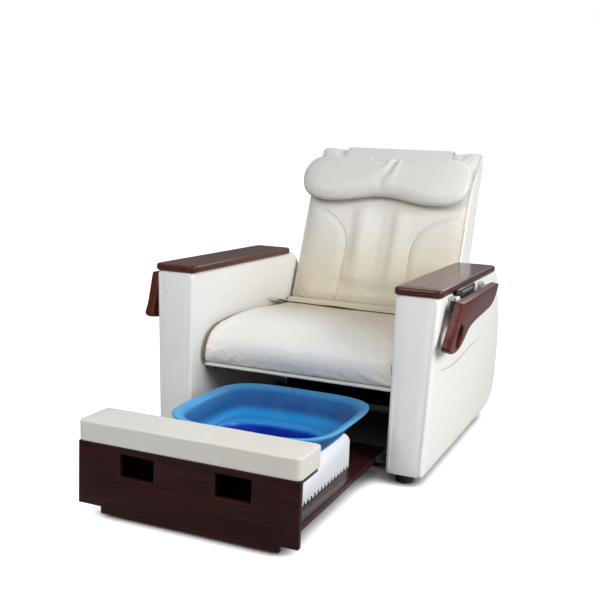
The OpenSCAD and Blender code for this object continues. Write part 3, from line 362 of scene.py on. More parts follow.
def upholster(outline, low, high, edge, place, puff=0.0, rings=9, corner_steps=5, between=(), mirrored=False):
    """A padded slab: the outline between two depths, with rounded edges and faces that swell a little.

    between lists depths at which the edge strip has points of its own; mirrored turns the faces round.
    """
    cx, cy = (sum(p[k] for p in outline) / len(outline) for k in (0, 1))
    half = []
    inner = drawn_in(outline, edge)
    for i in range(1, rings):
        f = (i / rings) ** 0.7
        ring = [(cx + (p[0] - cx) * f, cy + (p[1] - cy) * f) for p in inner]
        half.append((ring, puff * (1 - numpy.exp(-((from_rim(ring, inner) / 0.012) ** 2)))))
    for i in range(corner_steps + 1):
        turn = pi / 2 * i / corner_steps
        half.append((drawn_in(outline, edge * (1 - sin(turn))), [-edge * (1 - cos(turn))] * len(outline)))
    below = [[place(p[0], p[1], low - rise) for p, rise in zip(*ring)] for ring in half]
    above = [[place(p[0], p[1], high + rise) for p, rise in zip(*ring)] for ring in reversed(half)]
    points, faces = skin_rings(below + [[place(p[0], p[1], depth) for p in outline] for depth in between] + above)
    return points, [f[::-1] for f in faces] if mirrored else faces


sides = ((-1, "left"), (1, "right"))
arm_vinyl = vinyl("arm_vinyl", (0.83, 0.828, 0.80), (0.62, 0.6, 0.54), wear=0.1)
arm_low, arm_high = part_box("right_arm_upholstery")
arm_w = arm_high[0] - arm_low[0]
arm_lean = 0.020
arm_corner = 0.012
arm_top_len = 0.800


def arm_width(z):
    return arm_w - arm_lean * (arm_high[2] - z) / (arm_high[2] - arm_low[2])


def arm_side_outline():
    """Seen from the side, as (distance behind the front face, height)."""
    rear = arm_high[1] - front_y
    low, top = arm_low[2], arm_high[2]
    r = 0.010
    heel = cubic((rear - 0.156, low), (rear - 0.072, low), (rear, low + 0.036), (rear, low + 0.116), 14)
    sweep = cubic(
        (rear - 0.001, low + 0.126), (rear - 0.007, low + 0.266), (arm_top_len + 0.120, top - 0.125),
        (arm_top_len, top), 22
    )
    front = arc(r, top - r, r, 90, 180, 4) + arc(r, low + r, r, 180, 270, 4)
    return heel + sweep[:-1] + arc(arm_top_len - arm_corner, top - arm_corner, arm_corner, 40, 90, 4) + front


def make_arm(side, name):
    sunk = 0.0022  # the cover's front lies just behind the front panel's face
    tucked = 0.019  # from here inwards it dips under the front panel
    between = (arm_low[0] + tucked - 0.002, arm_low[0] + tucked, arm_high[0] - tucked, arm_high[0] - tucked + 0.002)

    def place(y, z, x):
        wave = 0.0007 * noise.noise(Vector((y * 6, z * 6, x * 3 + side)))
        across = (x - arm_low[0]) * arm_width(z) / arm_w
        under = 0.008 * exp(-((y / 0.010) ** 2)) if between[1] <= x <= between[2] else 0.0
        return (side * (arm_low[0] + across + wave), front_y + sunk + under + y * (1 - sunk), z)

    skin = upholster(
        even_points(arm_side_outline(), 0.011), arm_low[0] + 0.0012, arm_high[0] - 0.0008, arm_corner, place,
        0.0005, 12, 5, between, side < 0
    )
    cover = add_piece(name + "_arm_cover", skin, "chair_base", "leather_shell", arm_vinyl, name + "_arm_upholstery")


def make_front_panels():
    """Both front panels: puffed vinyl between the two sewn edges of each arm."""
    low, top = arm_low[2], arm_high[2]
    gap = 0.0135
    x0 = arm_low[0] + gap
    outline = even_points(
        arc(x0 + 0.010, low + 0.013, 0.010, 180, 270, 4)
        + [(arm_low[0] + arm_width(low) - gap, low + 0.003), (arm_high[0] - gap, top), (x0, top)], 0.010
    )
    points, faces = [], []
    for side, _ in sides:
        def place(x, z, y):
            return (side * x, front_y - y + 0.0006 * noise.noise(Vector((x * 9, z * 7, side))), z)

        p, f = upholster(outline, -0.012, -0.0020, 0.0024, place, 0.0018, 10, mirrored=side < 0)
        faces += [tuple(i + len(points) for i in q) for q in f]
        points += p
    name, skin = "arm_front_padding", (points, faces)
    panels = add_piece(name, skin, "chair_base", "leather_front", arm_vinyl, "arm_front_panels")


def tube_along(path, radii, flat=1.0, across=(1, 0, 0)):
    """A skin round a path; radii is one radius or one for each point, and flat squeezes it across."""
    radii = radii if isinstance(radii, list) else [radii] * len(path)
    across = Vector(across)
    turns = [2 * pi * k / 8 for k in range(8)]
    rings = []
    for i, p in enumerate(path):
        ahead = Vector(path[min(i + 1, len(path) - 1)]) - Vector(path[max(i - 1, 0)])
        up = across.cross(ahead).normalized()
        out = ahead.cross(up).normalized()
        rings.append([Vector(p) + radii[i] * (up * cos(a) + out * sin(a) * flat) for a in turns])
    return skin_rings(rings)


def gold_thread():
    """Satin stitch: bright yellow thread with a tight slanted rib."""
    material, tree, place = new_material("gold_thread")
    ribs = put(tree, "TexWave", {"Vector": place, "Scale": 420.0, "Distortion": 0.6}, bands_direction="DIAGONAL")
    ribs = ribs.outputs[1]
    tone = between_colours(tree, ribs, (0.42, 0.27, 0.07), (0.80, 0.60, 0.25))
    return finish(material, tone, 0.42, (0.5, 0.0004, ribs), Sheen_Weight=0.3)


def make_embroidery(side, name, thread):
    path, radii = [], []
    steps = 60
    for i in range(steps + 1):
        t = i / steps
        z = 0.345 - 0.0215 * sin(pi * min(1, t * 1.25)) * (1 - t) + 0.006 * t ** 4
        path.append((side * (arm_low[0] + arm_width(z) + 0.0004), front_y + 0.078 + 0.523 * t, z))
        radii.append(0.0003 + 0.0021 * sin(pi * t) ** 0.8)
    skin = tube_along(path, radii, 0.35, (side, 0, 0))
    add_piece(name + "_gold_stitching", skin, "chair_base", "leather_shell", thread)


thread = gold_thread()
for side, name in sides:
    make_arm(side, name)
    make_embroidery(side, name, thread)
make_front_panels()


# ---------------------------------------------------------------- wood
# Armrest caps and side trays: solid boards with rounded edges under thick red mahogany lacquer. The drawer's
# boards are of the same wood, stained darker; its cheeks are near black as painted shade. Every edge is broken by the
# lacquer.

def wood_group():
    """Long fibres with drifting dark veins, pores along the grain, and edges painted lighter: a painted highlight
    that also stands for lacquer worn thin.
    """
    tree, given = group("mahogany_grain", {
        "Vector": (0, 0, 0), "Light": (0.3, 0.1, 0.06, 1), "Dark": (0.1, 0.02, 0.02, 1),
        "RubbedAndSheen": (0.5, 0.2, 0.12, 1), "Edge": 0.002, "RubAndSheen": 0.3,
    })
    along = put(tree, "Mapping", {"Vector": given["Vector"], "Scale": (34, 2.2, 34)})
    veins = cloudy(tree, along, 3.4, 6.0, 2.0)
    tone = spread(tree, product(tree, cloudy(tree, along, 1.0, 4.0, 0.8), veins), 0.12, 0.42)
    stained = between_colours(tree, tone, given["Dark"], given["Light"])
    fibres = put(tree, "Mapping", {"Vector": given["Vector"], "Scale": (900, 26, 900)})
    pore = spread(tree, cloudy(tree, fibres, 1.0, 2.0), 0.30, 0.48, 0.55).outputs[0]
    pored = between_colours(tree, 1.0, stained, pore, "MULTIPLY")
    # painted highlight: bevelled edges are painted lighter, which also stands for lacquer worn thin there
    bent = put(tree, "Bevel", {"Radius": given["Edge"]}, samples=4)
    face = put(tree, "NewGeometry").outputs["Normal"]
    turn = put(tree, "VectorMath", {0: bent, 1: face}, operation="DOT_PRODUCT").outputs["Value"]
    edge = product(tree, spread(tree, turn, 0.995, 0.93), given["RubAndSheen"])
    rough = spread(tree, veins, 0.2, 0.8, 0.30, 0.42).outputs[0]
    return group_out(tree, between_colours(tree, edge, pored, given["RubbedAndSheen"]), rough, pore)


mahogany_grain = wood_group()


def lacquered_wood(name, light, dark, rubbed_and_sheen, coat, coat_rough, turn=pi / 2, bump=0.16, rub_and_sheen=0.35):
    material, tree, place = new_material(name)
    turned = put(tree, "Mapping", {"Vector": place, "Rotation": (0, 0, turn)})
    grain = put(tree, "Group", {
        "Vector": turned, "Light": light, "Dark": dark, "RubbedAndSheen": rubbed_and_sheen, "Edge": 0.0022, "RubAndSheen": rub_and_sheen,
    }, node_tree=mahogany_grain).outputs
    return finish(
        material, grain["Colour"], grain["Roughness"], (bump, 0.0003, grain["Height"]),
        Coat_Weight=coat, Coat_Roughness=coat_rough, Specular_IOR_Level=0.12,
    )


def copy_of(node, name, flat=False):
    """The node's own form as a new piece, without doubled points; flat joins the faces of one plane."""
    bm = bmesh.new()
    bm.from_mesh(frame["nodes"][node].data)
    bmesh.ops.remove_doubles(bm, verts=bm.verts, dist=1e-6)
    if flat:
        bmesh.ops.dissolve_limit(bm, angle_limit=radians(0.6), verts=bm.verts, edges=bm.edges)
    mesh = bpy.data.meshes.new(name)
    bm.to_mesh(mesh)
    bm.free()
    piece = bpy.data.objects.new(name, mesh)
    scene.collection.objects.link(piece)
    return piece


def as_mesh(piece):
    """The piece with its modifiers worked into its mesh."""
    done = bpy.data.meshes.new_from_object(piece.evaluated_get(bpy.context.evaluated_depsgraph_get()))
    piece.modifiers.clear()
    piece.data = done
    return done


def eased(node, body, slot, material, width, steps=2, angle=35):
    """A board or moulding with its edges rounded: the node's own shape, bevelled and shaded smooth."""
    piece = copy_of(node, node + "_eased", True)
    cut = piece.modifiers.new("rounding", "BEVEL")
    cut.width = width
    cut.segments = steps
    cut.limit_method = "ANGLE"
    cut.angle_limit = radians(angle)
    cut.miter_outer = "MITER_ARC"
    cut.use_clamp_overlap = True
    as_mesh(piece)
    dress(piece, body, slot, material, [node])
    piece.data.set_sharp_from_angle(angle=radians(32))


cap_wood = lacquered_wood(
    "cap_lacquer", (0.115, 0.024, 0.014), (0.040, 0.007, 0.005), (0.28, 0.06, 0.025), 0.45, 0.07, 0, 0.05
)
tray_wood = lacquered_wood(
    "tray_lacquer", (0.130, 0.023, 0.013), (0.048, 0.008, 0.006), (0.30, 0.05, 0.02), 0.14, 0.12, 0, 0.05
)


def make_cap(side, name):
    """A board with well-rounded corners and a full round along its edges."""
    node = name + "_armrest_cap"
    low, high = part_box(node)
    x0, x1 = sorted((abs(low[0]), abs(high[0])))
    outline = even_points(rounded_box(x0, x1, low[1], high[1], 0.021, 8), 0.006)
    skin = upholster(outline, low[2], high[2], 0.0078, lambda x, y, z: (side * x, y, z), 0.0, 5, 6, mirrored=side < 0)
    add_piece(name + "_cap_board", skin, "chair_base", "mahogany", cap_wood, node)


for side, name in sides:
    make_cap(side, name)
    eased(name + "_tray", name + "_side_tray", "mahogany", tray_wood, 0.004, 4, 40)

panel_wood = lacquered_wood(
    "drawer_front_stain", (0.042, 0.0105, 0.0080), (0.016, 0.0040, 0.0034), (0.17, 0.055, 0.03), 0.10, 0.30, rub_and_sheen=0.6
)
plinth_wood = lacquered_wood(
    "plinth_stain", (0.085, 0.024, 0.016), (0.040, 0.010, 0.008), (0.2, 0.06, 0.035), 0.1, 0.3, rub_and_sheen=0.5
)
# painted shade: the drawer's cheeks are coloured near black for the shade inside the drawer
shade_black_inner_wood = lacquered_wood(
    "inner_board_painted_shade", (0.010, 0.006, 0.005), (0.005, 0.003, 0.003), (0.03, 0.014, 0.01), 0.0, 0.4, 0, 0.05
)
board_wood = lacquered_wood(
    "drawer_board_stain", (0.065, 0.018, 0.016), (0.026, 0.007, 0.007), (0.18, 0.05, 0.035), 0.5, 0.16, 0, 0.05
)
for board, slot, wood in (
    ("front", "dark_panel", panel_wood), ("plinth", "mahogany", plinth_wood), ("cheeks", "mahogany", shade_black_inner_wood),
    ("top", "mahogany", board_wood), ("base", "mahogany", board_wood),
):
    eased("drawer_" + board, "drawer", slot, wood, 0.0016)


# ---------------------------------------------------------------- seat cushion
# Moulded foam in a warm ivory vinyl cover. Two side panels are sewn to the top panel with a brown welt
# that runs from the rear over the rounded nose down to the front edge.

def vinyl_with_painted_warm_shade(name, colour, warm, low, high, along, wear=0.16):
    """Vinyl painted warmer and darker towards one end, as painted warm shade: along is a direction, low and high
    where the shade starts and ends.
    """
    material, tree, place = new_material(name)
    reach = put(tree, "VectorMath", {0: place, 1: along}, operation="DOT_PRODUCT").outputs["Value"]
    reach = product(tree, cloudy(tree, place, 5.0, 3.0), 0.10, reach)
    tone = between_colours(tree, spread(tree, reach, low, high, course="SMOOTHSTEP"), colour, warm)
    skin = put(tree, "Group", {
        "Vector": place, "Colour": tone, "Shade": (0.56, 0.50, 0.39), "Grain": 620.0, "Wear": wear,
    }, node_tree=leather_grain).outputs
    return finish(
        material, skin["Colour"], skin["Roughness"], (0.14, 0.0007, skin["Height"]),
        Coat_Weight=0.06, Coat_Roughness=0.4, Specular_IOR_Level=0.4,
    )


def points_of(mesh):
    """The mesh's points and their normals."""
    points = numpy.empty(len(mesh.vertices) * 3)
    normals = numpy.empty(len(mesh.vertices) * 3)
    mesh.vertices.foreach_get("co", points)
    mesh.vertex_normals.foreach_get("vector", normals)
    return points.reshape(-1, 3), normals.reshape(-1, 3)


def set_points(mesh, points):
    mesh.vertices.foreach_set("co", points.ravel())
    mesh.update()


def blow_up(piece, start, held, slack, most):
    """Fill the cover as cloth, held where it is sewn. No point ends further out than most from its start."""
    sewn = piece.vertex_groups.new(name="sewn")
    for i in numpy.nonzero(held(start))[0]:
        sewn.add([int(i)], 1.0, "REPLACE")
    cloth = piece.modifiers.new("cover", "CLOTH")
    for key, value in {
        "quality": 4, "mass": 0.25, "tension_stiffness": 12, "compression_stiffness": 12, "shear_stiffness": 6,
        "bending_stiffness": 0.6, "shrink_min": slack, "shrink_max": slack, "use_pressure": True,
        "uniform_pressure_force": 4, "vertex_group_mass": "sewn",
    }.items():
        setattr(cloth.settings, key, value)
    cloth.settings.effector_weights.gravity = 0
    cloth.point_cache.frame_end = 20
    for at in range(1, 21):
        scene.frame_set(at)
    mesh = as_mesh(piece)
    scene.frame_set(1)
    moved = points_of(mesh)[0] - start
    far = numpy.linalg.norm(moved, axis=1, keepdims=True)
    set_points(mesh, start + moved * numpy.minimum(1.0, most / numpy.maximum(far, 1e-9)))
    piece.vertex_groups.clear()


def puffed(node, body, material, held, cell, draw_in, slack, most, smooth=3, even_out=None):
    """The node's form as a sewn cover over foam, with slack fabric that puckers beside the seams.

    The form is remade in even cells, smoothed and drawn in, and its cover then blown up. even_out changes
    the form's points first.
    """
    piece = copy_of(node, node + "_cover")
    if even_out:
        set_points(piece.data, even_out(points_of(piece.data)[0]))
    mesher = piece.modifiers.new("skin", "REMESH")
    mesher.mode = "VOXEL"
    mesher.voxel_size = cell
    even = piece.modifiers.new("even", "SMOOTH")
    even.factor = 0.5
    even.iterations = smooth
    mesh = as_mesh(piece)
    start, normals = points_of(mesh)
    start = start - normals * draw_in
    set_points(mesh, start)
    blow_up(piece, start, held, slack, most)
    piece.modifiers.new("finer", "SUBSURF").levels = 1
    as_mesh(piece)
    dress(piece, body, "leather", material, [node])
    return piece


def reshape(piece, change):
    """Move the points along their normals by change(points, normals), in metres."""
    points, normals = points_of(piece.data)
    set_points(piece.data, points + normals * change(points, normals)[:, None])


def soft_noise(points, scale, seed=0.0):
    """Noise from -1 to 1 at each point, after scaling it by three factors."""
    return numpy.array([noise.noise(Vector(p)) for p in points * scale + (0, 0, seed)])


def hump(v, width):
    """1 at zero, falling off smoothly over the width to both sides."""
    return numpy.exp(-((v / width) ** 2))


seat_low, seat_high = (Vector(c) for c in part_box("seat_cushion"))
# painted warm shade: warmer and darker towards the seat's rear
seat_vinyl = vinyl_with_painted_warm_shade(
    "seat_vinyl", (0.82, 0.815, 0.785), (0.58, 0.52, 0.405), front_y + 0.20, front_y + 0.50, (0.45, 1.0, 0.15), 0.14
)
seat = puffed(
    "seat_cushion", "chair_base", seat_vinyl,
    lambda p: (numpy.abs(p[:, 0]) > seat_high.x - 0.0075) | (p[:, 2] < seat_low.z + 0.006),
    0.0065, 0.0035, -0.012, 0.005
)


def seat_use(points, normals):
    """Faint creases that fan from the rear corners, and a slight dip where people sit."""
    up = numpy.clip(normals[:, 2], 0, 1)
    y = points[:, 1] - front_y
    dip = -0.0035 * hump(points[:, 0], 0.19) * hump(y - 0.46, 0.15) * up
    return dip + soft_noise(points, (5.0, 16.0, 5.0)) * 0.0009 * numpy.clip((y - 0.25) / 0.3, 0, 1) * up


reshape(seat, seat_use)


def surface(piece):
    mesh = piece.data
    return BVHTree.FromPolygons([v.co.copy() for v in mesh.vertices], [tuple(p.vertices) for p in mesh.polygons])


def outward(piece):
    """Turn all faces of a closed piece outwards."""
    bm = bmesh.new()
    bm.from_mesh(piece.data)
    bmesh.ops.recalc_face_normals(bm, faces=bm.faces)
    bm.to_mesh(piece.data)
    bm.free()
    return piece


seat_surface = surface(seat)


def on_surface(tree, line, lift):
    """The points of the surface nearest to a line's, lifted a little off it."""
    path = []
    for aim in line:
        spot, normal, _, _ = tree.find_nearest(aim)
        path.append(spot + normal * lift)
    return path


def make_welt(side, name):
    """Brown welt in the seam between the side panel and the top of the seat; its dark brown also stands as painted
    shadow in the gap beside the arm.
    """
    f, rear = front_y + 0.066, front_y + 0.726
    z, t = seat_low.z, seat_low.z + 0.134
    crest = (f + 0.084, t - 0.006)
    line = cubic((f, z), (f - 0.026, z + 0.029), (f - 0.018, t - 0.023), crest, 26)
    line += cubic(crest, (f + 0.234, t + 0.016), (rear - 0.190, t - 0.012), (rear - 0.002, t - 0.020), 30)[1:]
    seam = [Vector((side * (seat_high.x - 0.0055), y, height)) for y, height in line]
    skin = tube_along(on_surface(seat_surface, seam, 0.0010), 0.0029)
    add_piece(name + "_seat_welt", skin, "chair_base", "leather", welt_brown_and_shadow)


welt_brown_and_shadow = vinyl("brown_welt_and_painted_shadow", (0.24, 0.13, 0.06), (0.11, 0.055, 0.025), 900.0, 0.3, 0.1)
for side, name in sides:
    make_welt(side, name)


def make_front_wrap():
    """The cover's lower front is pulled round the plywood board and stapled under it."""
    low, high = (Vector(c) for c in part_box("seat_board"))
    thick, r = 0.0012, 0.004
    rings = []
    for i in range(41):
        x = low.x + 0.004 + (high.x - low.x - 0.008) * i / 40
        slack = 0.0005 + 0.0005 * noise.noise(Vector((x * 14, 0, 5)))
        tail = low.y + 0.045 + 0.004 * noise.noise(Vector((x * 9, 3, 0)))
        y = low.y + r - slack
        nose = arc(y, high.z - 0.002, r + thick, 90, 180, 4) + arc(y, low.z + r - slack, r + thick, 180, 270, 4)
        inner = [(p[0] + thick * (0.9 if k < 9 else 1), p[1] + (thick if k > 6 else 0)) for k, p in enumerate(nose)]
        outline = [(low.y + 0.020, high.z + 0.0004)] + nose + [(tail, low.z - thick - 0.0002)]
        outline += [(tail, low.z - 0.0001)] + inner[::-1] + [(low.y + 0.020, high.z - 0.0012)]
        rings.append([Vector((x, y, z)) for y, z in outline])
    outward(add_piece("seat_front_wrap", skin_rings(rings), "chair_base", "leather", wrap_vinyl_painted_light))


# painted light: the wrap's vinyl is whiter than the seat's, so the strip under the seat's nose reads lit
wrap_vinyl_painted_light = vinyl("seat_wrap_painted_light_vinyl", (0.87, 0.87, 0.86), (0.7, 0.68, 0.62), wear=0.1)
make_front_wrap()


# ---------------------------------------------------------------- backrest
# A quilted pad in front of a thin shell that holds the massage unit. The pad's middle panel is sewn in
# between two side panels with a topstitched seam; its foam has two ridges over the kneading tracks.

slope = radians(20.5)
back_foot = Vector((0, front_y + 0.734, 0.3953))
back_len = 0.653
pad_half = 0.318
pad_t = 0.045
along_t = Vector((0, cos(slope), -sin(slope)))
along_s = Vector((0, sin(slope), cos(slope)))


def on_back(x, t, s):
    return back_foot + Vector((x, 0, 0)) + along_t * t + along_s * s


def back_axes(points):
    """The points in the backrest's own axes: x, t to the rear and s up the slope."""
    y = points[:, 1] - back_foot.y
    z = points[:, 2] - back_foot.z
    return points[:, 0], y * cos(slope) - z * sin(slope), y * sin(slope) + z * cos(slope)


def to_sitter(normals):
    """How squarely each normal faces the sitter."""
    return normals[:, 2] * sin(slope) - normals[:, 1] * cos(slope)


def ease(v):
    v = numpy.clip(v, 0, 1)
    return v * v * (3 - 2 * v)


def bend(s):
    return 0.085 * numpy.maximum(0.0, (s - back_len + 0.268) / 0.268) ** 1.8


def quarter_turn(s, low, rise, share):
    """An even share of the pad's half width is left out low down, then less in a quarter turn."""
    turn = numpy.clip((s - low) / rise, 0, 1)
    return pad_half * (1 - share * numpy.sqrt(1 - turn * turn))


def seam_x(s):
    """Half the middle panel's width."""
    return quarter_turn(s, 0.218, 0.156, 0.60) + 0.008 * ease((0.10 - s) / 0.10)


# painted warm shade: warmer and darker towards the pad's lower part
back_vinyl = vinyl_with_painted_warm_shade(
    "back_vinyl", (0.725, 0.715, 0.675), (0.60, 0.545, 0.43), -0.70, -0.42, (0.12, 0.0, -1.0), 0.15
)


def pad_held(points):
    x, t, s = back_axes(points)
    rear = t > bend(s) + pad_t - 0.008
    return (numpy.abs(x) > pad_half - 0.006) | (s < 0.006) | (s > back_len - 0.006) | rear


def foam_front(points):
    """The foam under the cover is smooth where the plain form has a broad channel."""
    x, t, s = back_axes(points)
    channel = numpy.minimum(pad_half - 0.030, quarter_turn(s, 0.230, 0.140, 0.51))
    fill = 0.007 * hump(numpy.abs(x) - channel, 0.009) * ease((0.400 - s) / 0.040) * (t < bend(s) + 0.028)
    points[:, 1] -= fill * cos(slope)
    points[:, 2] += fill * sin(slope)
    return points


pad = puffed("back_pad", "backrest", back_vinyl, pad_held, 0.0065, 0.003, -0.012, 0.0045, 3, foam_front)


def pad_quilting(points, normals):
    """The sewn groove between plump panels, loose creases over the lower back and a few puckers."""
    x, t, s = back_axes(points)
    a = numpy.abs(x)
    rise = 0.002
    lean = (seam_x(s + rise) - seam_x(s - rise)) / (2 * rise)
    away = (a - seam_x(s)) / numpy.sqrt(1 + lean * lean)  # across the seam; inside it is negative
    groove = -0.0028 * hump(away, 0.0032)
    plump = 0.0040 * (1 - hump(numpy.maximum(away, 0), 0.018)) * ease((pad_half - 0.012 - a) / 0.05)
    pucker = 0.0010 * soft_noise(points, (2.0, 40.0, 40.0), 12.0) * hump(numpy.abs(away) - 0.010, 0.009)
    sewn = (groove + plump + pucker) * ease((0.382 - s) / 0.03)
    loose = 0.0040 * soft_noise(points, (3.2, 13.0, 13.0), 4.0)
    loose += 0.0014 * (numpy.abs(soft_noise(points, (4.5, 20.0, 20.0), 9.0)) ** 0.7 - 0.5)
    loose += numpy.where(away < 0, 0.0022, 0.0008) * numpy.sin(s * 2 * pi / 0.11 + 1.4 * numpy.cos(x * 9))
    loose *= ease((0.24 - s) / 0.16) * ease((pad_half - a) / 0.06)
    tracks = 0.0027 * (hump(a - 0.074, 0.026) - 0.7 * hump(x, 0.024)) * ease((s - 0.12) / 0.10)
    tracks *= ease((0.40 - s) / 0.10) * (0.70 + 1.2 * soft_noise(points, (7.0, 11.0, 11.0), 7.0))
    drawn = 0.0019 * soft_noise(points, (9.0, 9.0, 9.0), 2.0)
    return (sewn + loose + tracks + drawn) * numpy.clip(to_sitter(normals), 0, 1)


def pull_corners(piece):
    """The cover's top corners are pulled out over the shell, beside the strap."""
    points, _ = points_of(piece.data)
    x, t, s = back_axes(points)
    up = 0.007 * ease((numpy.abs(x) - 0.225) / 0.07) * ease((s - back_len + 0.06) / 0.06)
    out = 0.009 * ease((numpy.abs(x) - 0.20) / 0.10) * ease((s - back_len + 0.22) / 0.22) ** 1.5
    points[:, 0] += numpy.sign(x) * out
    points[:, 1] += up * sin(slope)
    points[:, 2] += up * cos(slope)
    set_points(piece.data, points)


reshape(pad, pad_quilting)
pull_corners(pad)
pad_surface = surface(pad)


def stitches(name, tree, line, aim, body, slot="leather"):
    """A row of thread stitches laid on a surface under a line of points; aim points at the surface."""
    pitch, length, r = 0.0058, 0.0040, 0.00042  # each stitch has four rings of five points
    spots = []
    for p in line:
        spot, normal, _, _ = tree.ray_cast(Vector(p) - aim * 0.08, aim, 0.2)
        if spot is not None:
            spots.append((spot, normal))
    points, faces = [], []
    run = 0.0
    for (a, na), (b, nb) in zip(spots, spots[1:]):
        step = (b - a).length
        if step > 0.03:
            continue
        while run < step:
            way = (b - a).normalized()
            normal = na.lerp(nb, run / step).normalized()
            start = a + way * run + normal * r * 0.5
            out = way.cross(normal).normalized()
            base = len(points)
            for f, k in ((0.0, 0.55), (0.2, 1.0), (0.8, 1.0), (1.0, 0.55)):
                centre = start + way * length * f - normal * (r * 0.7 if k < 1 else 0)
                for m in range(5):
                    turn = 2 * pi * m / 5
                    points.append(centre + (normal * cos(turn) + out * sin(turn)) * r * k)
            for ring in range(3):
                for m in range(5):
                    c, d = base + ring * 5 + m, base + ring * 5 + (m + 1) % 5
                    faces.append((c, d, d + 5, c + 5))
            faces.append(tuple(base + m for m in range(4, -1, -1)))
            faces.append(tuple(base + 15 + m for m in range(5)))
            run += pitch
        run -= step
    add_piece(name, (points, faces), body, slot, thread_ivory)


thread_ivory = vinyl("ivory_thread", (0.60, 0.56, 0.46), (0.4, 0.36, 0.28), 2500.0, 0.2, 0.3)
for side, name in sides:
    seam = []
    for i in range(111):
        s = 0.012 + 0.360 * i / 110
        lean = float(seam_x(s + 0.001) - seam_x(s - 0.001)) / 0.002
        off = 0.0050 / hypot(1, lean)  # the topstitching runs beside the seam
        seam.append(on_back(side * (float(seam_x(s)) + off), bend(s), s - off * lean))
    stitches(name + "_back_seam_thread", pad_surface, seam, along_t, "backrest")


def make_side_piping(name, side, material, r, start, stop, behind):
    """Piping down the edge of the pad, where its front meets its side."""
    levels = [start + (stop - start) * i / 69 for i in range(70)]
    line = [on_back(side * (pad_half + 0.007), bend(s) + behind, s) for s in levels]
    add_piece(name, tube_along(on_surface(pad_surface, line, 0.0002), r), "backrest", "leather", material)


piping_vinyl = vinyl("piping_vinyl", (0.66, 0.63, 0.55), (0.45, 0.40, 0.30), 900.0, 0.3, 0.1)
for side, name in sides:
    make_side_piping(name + "_pad_piping", side, piping_vinyl, 0.0022, 0.006, back_len - 0.004, 0.006)
    # painted shadow: a thin dark brown binding behind the piping stands for the dark gap between the arm and the pad
    make_side_piping(name + "_pad_binding", side, welt_brown_and_shadow, 0.0012, 0.010, 0.330, 0.016)


# ---------------------------------------------------------------- back shell
# Thin plywood shell covered with plain ivory vinyl. The cover is sewn from three panels and wrapped round
# the lower edge, where the backrest's tubes come out.

shell_half = 0.316
shell_top = back_len - 0.008
# painted light: this vinyl is paler than the arms', so the shell's side reads as brightly lit
shell_vinyl_painted_light = vinyl("shell_vinyl_painted_light", (0.86, 0.86, 0.85), (0.66, 0.63, 0.57), wear=0.10)


def shell_rear(s):
    foot, head = 0.158, 0.129  # how deep the shell is low down and at its top
    return pad_t + foot + (head - foot) * float(ease(s / shell_top * 0.9)) * 1.03


def shell_ring(s, inset):
    """One closed section: flat front against the pad, rounded rear corners, slightly puffed rear."""
    front = bend(s) + pad_t - 0.005 + inset * 0.5
    rear = shell_rear(s) - inset
    half = shell_half - inset
    r = max(0.003, 0.014 - inset)
    outline = [(half, front + 0.001)]
    outline += [(half, front + (rear - r - front) * i / 6) for i in range(1, 6)]
    outline += [(half - r + r * cos(a), rear - r + r * sin(a)) for a in (pi / 2 * i / 6 for i in range(7))]
    count = 60
    for i in range(1, count):
        x = (half - r) * (1 - 2 * i / count)
        seam = 0.0022 * exp(-(((abs(x) - 0.20) / 0.0035) ** 2))
        outline.append((x, rear - seam + 0.0004 * sin(s * 40 + x * 17)))
    outline += [(-p[0], p[1]) for p in reversed(outline[:13])]
    outline += [(half * (2 * i / 12 - 1), front) for i in range(1, 12)]
    return [on_back(x, t, s) for x, t in outline]


def make_shell():
    levels = [(0.012, 0.013), (0.004, 0.011), (0.0012, 0.006), (0.0002, 0.002)]
    levels += [(0.003 + (shell_top - 0.012) * i / 46, 0.0) for i in range(47)]
    for i in range(1, 6):
        a = pi / 2 * i / 5
        levels.append((shell_top - 0.009 + 0.009 * sin(a), 0.009 * (1 - cos(a))))
    rings = [shell_ring(s, inset) for s, inset in levels]
    points, faces = skin_rings(rings, False)
    n = len(rings[0])
    last = len(points) - n
    points.append(sum((Vector(p) for p in rings[-1]), Vector()) / n)
    faces += [(last + j, last + (j + 1) % n, len(points) - 1) for j in range(n)]
    shell = add_piece("back_shell_cover", (points, faces), "backrest", "leather_shell", shell_vinyl_painted_light, "back_shell")
    outward(shell)
    return surface(shell)


shell_surface = make_shell()
for side, name in sides:
    line = [on_back(side * 0.2045, shell_rear(s), s) for s in (0.02 + 0.60 * i / 120 for i in range(121))]
    stitches(name + "_shell_seam_thread", shell_surface, line, -along_t, "backrest", "leather_shell")


# ---------------------------------------------------------------- head pillow
# A fibre-filled pillow in thin soft vinyl, gathered at the middle of its top seam. It hangs on a wide
# strap that goes over the top of the backrest and down behind it.

pillow_vinyl = vinyl("pillow_vinyl", (0.68, 0.678, 0.65), (0.56, 0.53, 0.46), 640.0, 0.1, 0.12)
pillow_s = back_len - 0.165
pillow_aside = 0.006


def pillow_held(points):
    x, t, s = back_axes(points)
    return (numpy.abs(s - pillow_s - 0.096) < 0.005) & (numpy.abs(x) < 0.20)


pillow = puffed("head_pillow", "headrest", pillow_vinyl, pillow_held, 0.005, 0.0015, -0.015, 0.006, 2)


